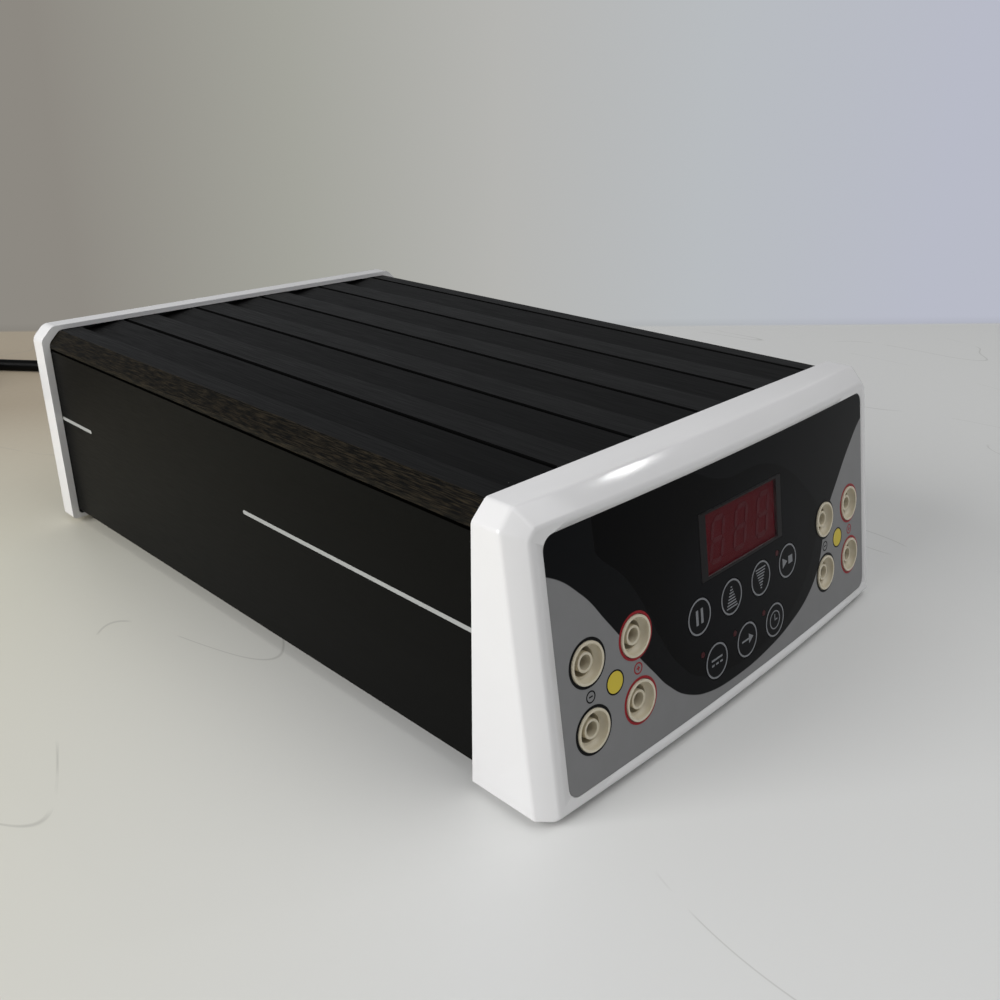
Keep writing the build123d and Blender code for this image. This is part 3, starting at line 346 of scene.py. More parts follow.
def grains(tree, size_mm, stretch=(1, 1, 1), detail=2.0):
    """Noise over the piece whose grains are size_mm across, longer along an axis with a small stretch."""
    place = add_node(tree, "ShaderNodeTexCoord").outputs["Object"]
    turned = add_node(tree, "ShaderNodeMapping", {"Vector": place, "Scale": stretch}).outputs[0]
    noise = add_node(tree, "ShaderNodeTexNoise", {
        "Vector": turned, "Scale": 1 / (size_mm * MM), "Detail": detail,
    })
    return noise.outputs["Fac"]


def specks(tree, spacing_mm, size_mm):
    """1 inside small round specks strewn at random, 0 outside."""
    place = add_node(tree, "ShaderNodeTexCoord").outputs["Object"]
    cells = add_node(tree, "ShaderNodeTexVoronoi", {"Vector": place, "Scale": 1 / (spacing_mm * MM)})
    radius = size_mm / spacing_mm / 2
    inside = add_node(tree, "ShaderNodeMapRange", {
        "Value": cells.outputs["Distance"], "From Min": radius * 1.2, "From Max": radius * 0.7,
    })
    return inside.outputs[0]


def layered(tree, colour, *layers):
    """Lays colours over a first one. Each layer is a value, the two levels of it between which the layer
    comes in, and a colour. A colour is a hex code, numbers or an output."""
    for value, low, high, over in layers:
        share = add_node(tree, "ShaderNodeMapRange", {"Value": value, "From Min": low, "From Max": high})
        inputs = {0: share.outputs[0], 6: colour, 7: over}
        colour = add_node(tree, "ShaderNodeMix", inputs, data_type="RGBA").outputs[2]
    return colour


def finish_shader(tree, shader, colour, roughness, spread, relief, relief_mm, sockets):
    """Sets the colour, a roughness that varies with the relief, the bump and the plain sockets."""
    tree.links.new(colour, shader.inputs["Base Color"])
    rough = add_node(tree, "ShaderNodeMapRange", {
        "Value": relief, "From Min": NOISE_LOW, "From Max": NOISE_HIGH, "To Min": roughness - spread,
        "To Max": roughness + spread,
    })
    tree.links.new(rough.outputs[0], shader.inputs["Roughness"])
    bump = add_node(tree, "ShaderNodeBump", {"Height": relief, "Distance": relief_mm * MM, "Strength": 1.0})
    tree.links.new(bump.outputs[0], shader.inputs["Normal"])
    for name, value in sockets.items():
        shader.inputs[name].default_value = value


def plain_finish(name, colour=None, stretch=(1, 1, 1)):
    """Material from its row in FINISHES, with one grain in roughness and relief and wider clouds in its
    shades. A colour given takes the place of the first shade."""
    first, second, grain_mm, relief_mm, roughness, spread, sockets = FINISHES[name]
    material, tree, shader = new_material(name)
    clouds = grains(tree, grain_mm * CLOUD_GRAINS, stretch)
    relief = grains(tree, grain_mm, stretch)
    shades = layered(tree, colour or first, (clouds, 0, 1, second))
    finish_shader(tree, shader, shades, roughness, spread, relief, relief_mm, sockets)
    return material


def printed_film():
    """Polycarbonate film printed from behind: grey corners, a charcoal field and a black middle shape that
    fades to blue-black round the keys. Its front is smooth with a very fine matt, so reflections are soft."""
    material, tree, shader = new_material("printed_polycarbonate_film")
    place = add_node(tree, "ShaderNodeTexCoord").outputs["Object"]
    on_face = add_node(tree, "ShaderNodeMapping", {
        "Vector": place, "Location": FACE_BASE * MM, "Rotation": (math.pi / 2 - FACE_LEAN, 0, 0),
        "Scale": (MM, MM, MM),
    }, vector_type="TEXTURE").outputs[0]
    split = add_node(tree, "ShaderNodeSeparateXYZ", {0: on_face})
    share = add_node(tree, "ShaderNodeMapRange", {
        "Value": split.outputs[0], "From Min": -FILM_SPAN, "From Max": FILM_SPAN,
    })

    def above(points):
        """1 above the line through the points, 0 below it."""
        curve = add_node(tree, "ShaderNodeFloatCurve", {"Value": share.outputs[0]})
        line = curve.mapping.curves[0]
        spots = [((u + FILM_SPAN) / (2 * FILM_SPAN), v / FILM_SPAN) for u, v in points]
        line.points[0].location = spots[0]
        line.points[1].location = spots[-1]
        for spot in spots[1:-1]:
            line.points.new(*spot)
        curve.mapping.update()
        rise = add_node(tree, "ShaderNodeMath", {0: curve.outputs[0], 1: FILM_SPAN}, operation="MULTIPLY")
        gap = add_node(
            tree, "ShaderNodeMath", {0: split.outputs[1], 1: rise.outputs[0]}, operation="SUBTRACT",
        )
        return add_node(tree, "ShaderNodeMapRange", {
            "Value": gap.outputs[0], "From Min": -PRINT_BLEED, "From Max": PRINT_BLEED,
        }).outputs[0]

    field = above(FIELD_EDGE)
    middle = add_node(
        tree, "ShaderNodeMath", {0: above(MIDDLE_LOW_EDGE), 1: above(MIDDLE_HIGH_EDGE)}, operation="SUBTRACT",
        use_clamp=True,
    ).outputs[0]
    reach = add_node(tree, "ShaderNodeVectorMath", {0: on_face, 1: KEYPAD_MIDDLE}, operation="SUBTRACT")
    reach = add_node(tree, "ShaderNodeVectorMath", {0: reach.outputs[0], 1: KEYPAD_HALF}, operation="DIVIDE")
    reach = add_node(tree, "ShaderNodeVectorMath", {0: reach.outputs[0]}, operation="LENGTH").outputs["Value"]
    black = layered(tree, "#06070b", (reach, *KEYPAD_FADE, "#010102"))
    dark = layered(tree, "#0e0f11", (grains(tree, 9), 0, 1, "#0b0c0e"), (middle, 0, 1, black))
    colour = layered(tree, "#868687", (grains(tree, 6), 0, 1, "#818181"), (field, 0, 1, dark))
    finish_shader(
        tree, shader, colour, 0.25, 0.02, grains(tree, 0.35), 0.0006,
        {"IOR": 1.5, "Specular IOR Level": 0.045},
    )
    return material


def brushed_extrusion():
    """Black anodised aluminium, brushed along its length: fine scratches catch the light in streaks, its edge
    bevels are coloured in lighter brown streaks, and a few pale specks of dust lie on it."""
    material, tree, shader = new_material("brushed_anodised_aluminium")
    place = add_node(tree, "ShaderNodeTexCoord").outputs["Object"]
    split = add_node(tree, "ShaderNodeSeparateXYZ", {0: place})
    out = add_node(tree, "ShaderNodeMath", {0: split.outputs[0]}, operation="ABSOLUTE").outputs[0]
    scratches = grains(tree, 0.3, (1, 0.02, 1), 4)
    bands = grains(tree, 2.2, (1, 0.012, 1), 3)
    streaks = grains(tree, 0.28, (1, 0.05, 1), 4)
    edge = layered(tree, "#030302", (streaks, 0.44, 0.68, "#2a241a"))
    colour = layered(
        tree, "#030303", (bands, 0, 1, "#0e0e0e"), (out, BEVEL_START * MM, BEVEL_FULL * MM, edge),
        (specks(tree, 9, 0.26), 0, 1, "#83827b"),
    )
    sockets = {"IOR": 1.62, "Specular IOR Level": 0.05}
    finish_shader(tree, shader, colour, 0.42, 0.09, scratches, 0.02, sockets)
    return material


def moulded_white():
    """White ABS from a polished mould, glossy enough for a lamp to glint in its edges: clouds a few
    centimetres wide, and the odd dark speck of use."""
    material, tree, shader = new_material("moulded_abs_white")
    colour = layered(
        tree, "#e3e2e2", (grains(tree, 24), 0, 1, "#dedddd"), (specks(tree, 24, 0.35), 0, 1, "#8e8c88"),
    )
    finish_shader(tree, shader, colour, 0.12, 0.02, grains(tree, 9), 0.0005, {"IOR": 1.54})
    return material


def smoked_window():
    """Smoked acrylic window: clear enough to show the dark red display behind it, glossy in front."""
    material, tree, shader = new_material("smoked_acrylic")
    colour = layered(tree, "#2e070d", (grains(tree, 8), 0, 1, "#28060b"))
    sockets = {"IOR": 1.49, "Specular IOR Level": 0.05, "Alpha": 0.4}
    finish_shader(tree, shader, colour, 0.16, 0.02, grains(tree, 2), 0.0003, sockets)
    return material


def dress(material, *names):
    """Gives a CAD node its finish in place of the imported one."""
    for name in names:
        slots = NODES[name].material_slots
        if not len(slots):
            NODES[name].data.materials.append(material)
        for slot in slots:
            slot.material = material


def on_panel(u, v, lift=0.0):
    """Placing matrix, millimetres in and metres out, that lays the local XY plane on the front face."""
    turn = math.asin(u / BOW_RADIUS)
    normal = Vector((math.sin(turn), 0, 0)) + FACE_OUT * math.cos(turn)
    across = Vector((math.cos(turn), 0, 0)) - FACE_OUT * math.sin(turn)
    bulge = BOW_RADIUS * math.cos(turn) - BOW_RADIUS + FACE_BOW
    origin = FACE_BASE + Vector((u, 0, 0)) + FACE_UP * v + FACE_OUT * bulge + normal * (lift - FILM_SINK)
    turned = Matrix((across, FACE_UP, normal)).transposed().to_4x4()
    return Matrix.Scale(MM, 4) @ Matrix.Translation(origin) @ turned


def on_rocker(y, z, slope):
    """The same for the face of the rocker, where its normal rises by the slope."""
    normal = Vector((0, math.cos(math.asin(slope)), slope))
    turned = Matrix(((-1, 0, 0), (0, -normal.z, normal.y), normal)).transposed().to_4x4()
    return Matrix.Scale(MM, 4) @ Matrix.Translation((0, y, z)) @ turned


def put(bm, old, place):
    """Moves the vertices that are new since old was noted to their place."""
    bmesh.ops.transform(bm, matrix=place, verts=[v for v in bm.verts if v not in old])


def add_turned(bm, profile, place, steps):
    """Closed ring: corners of a profile, as radius and height in millimetres, spun about Z."""
    old = set(bm.verts)
    corners = [bm.verts.new((radius, 0, height)) for radius, height in profile]
    edges = [bm.edges.new((corners[i - 1], corners[i])) for i in range(len(corners))]
    bmesh.ops.spin(
        bm, geom=corners + edges, cent=(0, 0, 0), axis=(0, 0, 1), angle=2 * math.pi, steps=steps,
        use_merge=True,
    )
    put(bm, old, place)


def add_ring(bm, inner, outer, place):
    """Flat printed ring that stands a hair above its surface."""
    profile = ((inner, PRINT_LOW), (outer, PRINT_LOW), (outer, PRINT_HIGH), (inner, PRINT_HIGH))
    add_turned(bm, profile, place, RING_STEPS)


def add_plate(bm, outline, place, high=PRINT_HIGH):
    """Flat printed shape of a few corners, a hair above its surface."""
    old = set(bm.verts)
    face = bm.faces.new([bm.verts.new((x, y, PRINT_LOW)) for x, y in outline])
    made = bmesh.ops.extrude_face_region(bm, geom=[face], use_keep_orig=True)
    risen = [part for part in made["geom"] if isinstance(part, bmesh.types.BMVert)]
    bmesh.ops.translate(bm, vec=(0, 0, high - PRINT_LOW), verts=risen)
    put(bm, old, place)


def add_strip(bm, left, right, bottom, top):
    """Printed strip that follows the bow of the front face."""
    rows = []
    corners = ((bottom, PRINT_LOW), (top, PRINT_LOW), (top, PRINT_HIGH), (bottom, PRINT_HIGH))
    for i in range(STRIP_STEPS + 1):
        u = left + (right - left) * i / STRIP_STEPS
        rows.append([bm.verts.new(on_panel(u, v, lift) @ Vector()) for v, lift in corners])
    for here, there in zip(rows, rows[1:]):
        for i in range(4):
            bm.faces.new((here[i - 1], here[i], there[i], there[i - 1]))
    bm.faces.new(rows[0])
    bm.faces.new(rows[-1])


def pill(length, width, steps=8):
    """Corners of a bar with round ends, along X about the origin."""
    reach = (length - width) / 2
    turns = [math.pi * (i / steps - 0.5) for i in range(steps + 1)]
    right = [(reach + math.cos(turn) * width / 2, math.sin(turn) * width / 2) for turn in turns]
    return right + [(-x, -y) for x, y in right]


def bar(x, y, width, height):
    """Corners of an upright rectangle about a middle point."""
    return [(x + sx * width / 2, y + sy * height / 2) for sx, sy in ((-1, -1), (1, -1), (1, 1), (-1, 1))]


def shaped(name, bm, material, body, sharp=35):
    """Object of a finished bmesh that rides on a body."""
    bmesh.ops.recalc_face_normals(bm, faces=bm.faces)
    mesh = bpy.data.meshes.new(name)
    bm.to_mesh(mesh)
    bm.free()
    mesh.materials.append(material)
    mesh.shade_smooth()
    mesh.set_sharp_from_angle(angle=math.radians(sharp))
    made = bpy.data.objects.new(name, mesh)
    bpy.context.collection.objects.link(made)
    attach(made, body)
    return made


def merged_copy(node):
    """The node's mesh as one closed bmesh of flat faces."""
    bm = bmesh.new()
    bm.from_mesh(NODES[node].data)
    bmesh.ops.remove_doubles(bm, verts=bm.verts, dist=MERGE_GAP * MM)
    bmesh.ops.dissolve_limit(
        bm, angle_limit=FLAT_ANGLE, verts=bm.verts, edges=bm.edges, use_dissolve_boundaries=False,
    )
    return bm


def edge_middle(edge):
    """Middle of an edge, in millimetres."""
    return (edge.verts[0].co + edge.verts[1].co) / (2 * MM)


def soften(bm, wanted, radius, segments):
    """Rounds the edges that wanted picks, as a mould's own radius does."""
    near = [v for v in bm.verts if any(wanted(e) for e in v.link_edges)]
    bmesh.ops.remove_doubles(bm, verts=near, dist=SLIVER * MM)
    edges = [e for e in bm.edges if len(e.link_faces) == 2 and wanted(e)]
    bmesh.ops.bevel(
        bm, geom=edges, offset=radius * MM, offset_type="OFFSET", affect="EDGES", segments=segments,
        profile=0.5, material=-1, clamp_overlap=True,
    )


def grip_edge(edge):
    """Whether an edge is sharp and on the grip of the connector or plug, away from its face and pins."""
    y = edge_middle(edge).y
    return edge.calc_face_angle(0) > GRIP_ANGLE and any(low < y < high for low, high in GRIP_RANGES)


def beyond(rim, across, up):
    """Whether a place is outside a rim."""
    half, low, high = rim
    return abs(across) > half or up < low or up > high


def front_rim_edge(edge):
    """Whether an edge is sharp and on the outside of the front bezel."""
    middle = edge_middle(edge)
    outside = beyond(FRONT_RIM, middle.x, (middle - FACE_BASE).dot(FACE_UP))
    return edge.calc_face_angle(0) >= RIM_ANGLE and outside and middle.y < FRONT_RIM_END


def rear_rim_edge(edge):
    """Whether an edge is sharp and on the outside of the rear bezel."""
    middle = edge_middle(edge)
    outside = beyond(REAR_RIM, middle.x, middle.z)
    return edge.calc_face_angle(0) >= RIM_ANGLE and outside and middle.y > REAR_RIM_END


def add_band(bm, half_across, half_up, corner, thickness, width, place, steps=8):
    """Strap bent into an upright loop with round corners, its width along Y."""
    loops = []
    for grown in (0.0, thickness):
        for side in (-width / 2, width / 2):
            loop = []
            for i in range(4 * (steps + 1)):
                quarter, step = divmod(i, steps + 1)
                turn = (quarter + step / steps) * math.pi / 2
                sign_x, sign_z = ((1, 1), (-1, 1), (-1, -1), (1, -1))[quarter]
                x = sign_x * (half_across - corner) + math.cos(turn) * (corner + grown)
                z = sign_z * (half_up - corner) + math.sin(turn) * (corner + grown)
                loop.append(bm.verts.new(place @ Vector((x, side, z))))
            loops.append(loop)
    inner_a, inner_b, outer_a, outer_b = loops
    for one, other in ((inner_a, inner_b), (inner_b, outer_b), (outer_b, outer_a), (outer_a, inner_a)):
        for i in range(len(one)):
            bm.faces.new((one[i - 1], one[i], other[i], other[i - 1]))


def add_ribs(bm, middle, start, end):
    """Round ribs along a boot that tapers along Y."""
    for i in range(RIB_COUNT):
        share = (i + RIB_SHIFT) / RIB_COUNT
        y = start + (end - start) * share
        radius = BOOT_RADIUS + (BOOT_TIP_RADIUS - BOOT_RADIUS) * share
        place = Matrix.Scale(MM, 4) @ Matrix.Translation((middle[0], y, middle[1]))
        profile = [(radius + out, along) for out, along in RIB_PROFILE]
        add_turned(bm, profile, place @ Matrix.Rotation(-math.pi / 2, 4, "X"), RIB_STEPS)


def lead_points():
    """Points along the lead, in millimetres: over the bench, round the coil and into the plug."""
    points = [Vector(point) for point in LEAD_ROUTE]
    count = round(COIL_TURNS * COIL_POINTS_PER_TURN)
    middle = COIL_TURNS / 2
    for i in range(1, count + 1):
        turns = COIL_TURNS * i / count
        angle = COIL_ENTRY + turns * 2 * math.pi
        inward = min(turns, COIL_TURNS - turns) / middle
        reach = COIL_OUTER + (COIL_INNER - COIL_OUTER) * inward
        climb = min(max((turns - middle) * COIL_CLIMB + 0.5, 0), 1)
        height = LEAD_RADIUS + COIL_LIFT + COIL_LAYER * climb
        points.append(Vector((
            COIL_CENTRE[0] + reach * math.cos(angle), COIL_CENTRE[1] + reach * math.sin(angle), height,
        )))
    return points + [Vector(point) for point in LEAD_TAIL]


def key_sign(name):
    """Outlines of the plain sign printed on a key, about its middle."""
    if name == "pause":
        return [bar(-1.2, 0, 1.1, 4.6), bar(1.2, 0, 1.1, 4.6)]
    if name in ("up", "down"):
        way = 1 if name == "up" else -1
        count, pitch, foot, width, thickness = 8, 0.9, -3.2, 5.8, 0.42
        return [bar(0, way * (pitch * i + foot), width * (1 - i / count), thickness) for i in range(count)]
    if name == "start":
        return [[(-3.2, -1.7), (-0.3, 0), (-3.2, 1.7)], bar(1.8, 0, 2.6, 2.6)]
    if name == "voltage":
        return [bar(0, 0.7, 5.6, 0.6)] + [bar(x, -0.9, 1.3, 0.6) for x in (-2.15, 0, 2.15)]
    if name == "current":
        return [bar(-0.9, 0, 4.2, 0.6), [(0.9, -1.6), (3.4, 0), (0.9, 1.6)]]
    return [bar(0, 0.9, 0.42, 2.0), bar(0.7, 0, 1.7, 0.42)]


class SupplyStage(bpy.types.PropertyGroup):
    """Camera, floor and light."""

    lens: bpy.props.FloatProperty(
        name="Lens", description="Focal length on a 36 mm sensor", default=35.423, min=10, unit="CAMERA",
    )
    floor_colour: bpy.props.FloatVectorProperty(
        name="Bench", description="Colour of the bench", subtype="COLOR", size=4, default=linear("#dadad8"),
    )
    world_strength: bpy.props.FloatProperty(
        name="Room light", description="Light from all round", default=0.28, min=0,
    )
    key_power: bpy.props.FloatProperty(
        name="Window light", description="Power of the large soft lamp", default=25.0, min=0, subtype="POWER",
    )


class SupplyLead(bpy.types.PropertyGroup):
    """Mains lead."""

    radius: bpy.props.FloatProperty(
        name="Radius", description="Radius of the lead", default=LEAD_RADIUS * MM, min=0.001, unit="LENGTH",
    )


class SupplyPrint(bpy.types.PropertyGroup):
    """Printed marks."""

    negative: bpy.props.FloatVectorProperty(
        name="Negative", description="Ink round the negative sockets", subtype="COLOR", size=4,
        default=linear(FINISHES["screen_print_black"][0]),
    )
    positive: bpy.props.FloatVectorProperty(
        name="Positive", description="Ink round the positive sockets", subtype="COLOR", size=4,
        default=linear(FINISHES["screen_print_red"][0]),
    )
    legend: bpy.props.FloatVectorProperty(
        name="Legend", description="Ink of the key legends", subtype="COLOR", size=4,
        default=linear(FINISHES["screen_print_silver"][0]),
    )


class SUPPLY_OT_camera(bpy.types.Operator):
    """Camera at the height and place that the case was photographed from"""

    bl_idname = "supply.camera"
    bl_label = "Camera"

    def execute(self, context):
        data = bpy.data.cameras.new("camera")
        data.lens = context.scene.supply_stage.lens
        data.sensor_width = SENSOR_WIDTH
        data.clip_start = 0.01
        camera = bpy.data.objects.new("camera", data)
        context.collection.objects.link(camera)
        turn = Matrix.Rotation(CAMERA_TURN, 4, "Z") @ Matrix.Rotation(math.pi / 2 - CAMERA_DIP, 4, "X")
        turn = turn @ Matrix.Rotation(CAMERA_ROLL, 4, "Z")
        camera.matrix_world = Matrix.Translation(CAMERA_PLACE) @ turn
        context.scene.camera = camera
        return {"FINISHED"}


class SUPPLY_OT_lead(bpy.types.Operator):
    """Mains lead along the bench and in its coil, its strap, and its connector and plug with ribbed boots"""

    bl_idname = "supply.lead"
    bl_label = "Mains lead"

    def execute(self, context):
        data = bpy.data.curves.new("lead", "CURVE")
        data.dimensions = "3D"
        data.bevel_depth = context.scene.supply_lead.radius
        data.bevel_resolution = 6
        data.resolution_u = 8
        data.use_fill_caps = True
        points = lead_points()
        line = data.splines.new("NURBS")
        line.points.add(len(points) - 1)
        for made, point in zip(line.points, points):
            made.co = (*(point * MM), 1)
        line.order_u = 3
        line.use_endpoint_u = True
        lead = bpy.data.objects.new("lead", data)
        context.collection.objects.link(lead)
        data.materials.append(plain_finish("soft_pvc_jacket"))
        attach(lead, "root")
        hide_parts("mains_lead", "lead_coil")
        moulding = plain_finish("moulded_pvc")
        for node, middle, start, end in BOOTS:
            bm = merged_copy(node)
            soften(bm, grip_edge, GRIP_RADIUS, GRIP_SEGMENTS)
            add_ribs(bm, middle, start, end)
            piece = shaped(f"{node}_moulded", bm, moulding, "root", sharp=30)
            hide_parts(node)
        bm = bmesh.new()
        reach = (COIL_OUTER + COIL_INNER) / 2
        half = (COIL_OUTER - COIL_INNER) / 2 + LEAD_RADIUS + TIE_PLAY
        turned = Matrix.Rotation(TIE_ANGLE, 4, "Z") @ Matrix.Translation((reach, 0, TIE_MIDDLE_Z))
        place = Matrix.Scale(MM, 4) @ Matrix.Translation((*COIL_CENTRE, 0)) @ turned
        add_band(bm, half, TIE_HALF_HEIGHT, TIE_CORNER, TIE_THICKNESS, TIE_WIDTH, place)
        place = place @ Matrix.Translation((half * FLAP_PLACE_SHARE, 0, FLAP_RISE))
        add_band(
            bm, half * FLAP_HALF_SHARE, FLAP_HALF_HEIGHT, FLAP_CORNER, FLAP_THICKNESS, TIE_WIDTH, place,
        )
        shaped("lead_tie", bm, plain_finish("woven_hook_strap"), "root", sharp=50)
        return {"FINISHED"}


class SUPPLY_OT_bezels(bpy.types.Operator):
    """White end frames with the small radii of their mould"""

    bl_idname = "supply.bezels"
    bl_label = "Bezels"

    def execute(self, context):
        white = moulded_white()
        for node, wanted in (("front_bezel", front_rim_edge), ("rear_bezel", rear_rim_edge)):
            bm = merged_copy(node)
            soften(bm, wanted, RIM_RADIUS, RIM_SEGMENTS)
            piece = shaped(f"{node}_moulded", bm, white, "root", sharp=25)
            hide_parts(node)
        return {"FINISHED"}


class SUPPLY_OT_case(bpy.types.Operator):
    """Extruded cover and shell, their printed side lines, feet and rear fittings"""

    bl_idname = "supply.case"
    bl_label = "Case"

    def execute(self, context):
        dress(brushed_extrusion(), "top_cover")
        dress(plain_finish("satin_anodised_aluminium", stretch=(1, 0.05, 1)), "base_shell")
        dress(plain_finish("powder_coated_steel"), "rear_panel")
        dress(
            plain_finish("moulded_pbt_black"),
            "inlet_housing", "fuse_drawer", "switch_housing", "switch_rocker", "transistors", "key_switches",
        )
        dress(
            plain_finish("moulded_rubber"),
            "foot_front_left", "foot_front_right", "foot_rear_left", "foot_rear_right",
        )
        dress(plain_finish("nickel_plate"), "inlet_pins", "plug_pins")
        dress(plain_finish("zinc_plate"), "bezel_screws", "inlet_screws", "board_screws")
        bm = bmesh.new()
        add_plate(bm, bar(0, 0, *ROCKER_BAR), on_rocker(*ROCKER_BAR_PLACE))
        add_ring(bm, *ROCKER_RING, on_rocker(*ROCKER_RING_PLACE))
        shaped("switch_rocker_print", bm, plain_finish("pad_print_white"), "switch_rocker")
        ink = plain_finish("screen_print_grey")
        for side, name in ((-1, "side_line_left"), (1, "side_line_right")):
            bm = bmesh.new()
            turn = Matrix(((0, 0, side), (side, 0, 0), (0, 1, 0))).to_4x4()
            for start, end in SIDE_LINES:
                middle = Matrix.Translation((side * BODY_HALF, (start + end) / 2, SIDE_LINE_Z))
                add_plate(bm, pill(end - start, SIDE_LINE_WIDTH), Matrix.Scale(MM, 4) @ middle @ turn)
            shaped(name, bm, ink, "root")
        return {"FINISHED"}


class SUPPLY_OT_panel(bpy.types.Operator):
    """Printed film, sockets with their contacts, rings and signs, and the mark of each socket group"""

    bl_idname = "supply.panel"
    bl_label = "Front panel"

    def execute(self, context):
        inks = context.scene.supply_print
        dress(printed_film(), "panel_film")
        ivory = plain_finish("moulded_nylon_ivory")
        brass = plain_finish("bare_brass")
        black = plain_finish("screen_print_black", tuple(inks.negative))
        red = plain_finish("screen_print_red", tuple(inks.positive))
        yellow = plain_finish("screen_print_yellow")
        rings = {"negative": bmesh.new(), "positive": bmesh.new()}
        for side, centre in (("left", -GROUP_U), ("right", GROUP_U)):
            for kind, du in (("negative", -SOCKET_HALF_PITCH), ("positive", SOCKET_HALF_PITCH)):
                for row, dv in (("upper", SOCKET_HALF_PITCH), ("lower", -SOCKET_HALF_PITCH)):
                    dress(ivory, f"socket_{side}_{kind}_{row}")
                    dress(brass, f"contact_{side}_{kind}_{row}")
                    add_ring(rings[kind], *SOCKET_RING, on_panel(centre + du, GROUP_V + dv))
                sign = on_panel(centre + du, GROUP_V)
                add_ring(rings[kind], *SIGN_RING, sign)
                add_plate(rings[kind], bar(0, 0, *SIGN_BAR), sign)
                if kind == "positive":
                    add_plate(rings[kind], bar(0, 0, *reversed(SIGN_BAR)), sign, PLUS_HIGH)
        shaped("negative_print", rings["negative"], black, "root")
        shaped("positive_print", rings["positive"], red, "root")
        border, patch = bmesh.new(), bmesh.new()
        for centre in (-GROUP_U, GROUP_U):
            place = on_panel(centre, GROUP_V)
            add_ring(border, *MARK_RING, place)
            add_plate(patch, pill(*MARK_DISC, steps=24), place, MARK_HIGH)
        shaped("group_mark_ring", border, black, "root")
        shaped("group_mark", patch, yellow, "root")
        return {"FINISHED"}


class SUPPLY_OT_keys(bpy.types.Operator):
    """Round membrane keys with a thin ring and a plain sign each, and the lamps beside them"""

    bl_idname = "supply.keys"
    bl_label = "Keys"

    def execute(self, context):
        cap = plain_finish("printed_key_film")
        ink = plain_finish("screen_print_silver", tuple(context.scene.supply_print.legend))
        for name, (u, v) in KEYS.items():
            dress(cap, f"key_{name}")
            place = on_panel(u, v)
            bm = bmesh.new()
            add_ring(bm, *KEY_RING, place)
            for outline in key_sign(name):
                add_plate(bm, outline, place)
            if name == "time":
                add_ring(bm, *CLOCK_RING, place)
            shaped(f"key_{name}_print", bm, ink, f"key_{name}")
        dress(plain_finish("diffused_red_epoxy"), "key_lamps")
        return {"FINISHED"}


class SUPPLY_OT_display(bpy.types.Operator):
    """Smoked window with its printed border, and the dark red three-digit display behind it"""

    bl_idname = "supply.display"
    bl_label = "Display"

    def execute(self, context):
        dress(smoked_window(), "display_window")
        dress(plain_finish("display_epoxy_dark_red"), "display_block")
        dress(plain_finish("unlit_segment_epoxy"), "display_digits")
        bm = bmesh.new()
        for sides in WINDOW_BORDER:
            add_strip(bm, *sides)
        shaped("window_border", bm, plain_finish("screen_print_window"), "root")
        return {"FINISHED"}


class SUPPLY_OT_inside(bpy.types.Operator):
    """Boards, transformer and the other inner parts"""

    bl_idname = "supply.inside"
    bl_label = "Inside"

    def execute(self, context):
        dress(plain_finish("solder_mask_green"), "front_board", "output_boards", "main_board")
        dress(plain_finish("sintered_ferrite"), "transformer_core")
        dress(plain_finish("polyester_tape"), "transformer_winding")
        dress(plain_finish("shrink_sleeve"), "capacitors")
        dress(plain_finish("plain_aluminium"), "heat_sink")
        dress(plain_finish("fuse_glass_tube"), "fuse_links")
        return {"FINISHED"}


def wall_share(tree, way):
    """How far to the right of the wall's middle a way points, from 0 to 1 over the picture."""
    along, across = [
        add_node(tree, "ShaderNodeVectorMath", {0: way, 1: line}, operation="DOT_PRODUCT").outputs["Value"]
        for line in (VIEW_WAY, ACROSS_WAY)
    ]
    ahead = add_node(tree, "ShaderNodeMath", {0: along, 1: WALL_AHEAD}, operation="MAXIMUM")
    slope = add_node(tree, "ShaderNodeMath", {0: across, 1: ahead.outputs[0]}, operation="DIVIDE")
    return add_node(tree, "ShaderNodeMapRange", {
        "Value": slope.outputs[0], "From Min": -WALL_SPAN, "From Max": WALL_SPAN,
    }).outputs[0]


def wall_tone(tree, share):
    """The wall's grey, with painted shade making it darker and warmer to the left."""
    ramp = add_node(tree, "ShaderNodeValToRGB", {0: share})
    stops = ramp.color_ramp.elements
    stops[0].position = WALL_TONES[0][0]
    stops[1].position = WALL_TONES[-1][0]
    for place, _ in WALL_TONES[1:-1]:
        stops.new(place)
    for stop, (_, code) in zip(stops, WALL_TONES):
        stop.color = linear(code)
    return ramp.outputs[0]


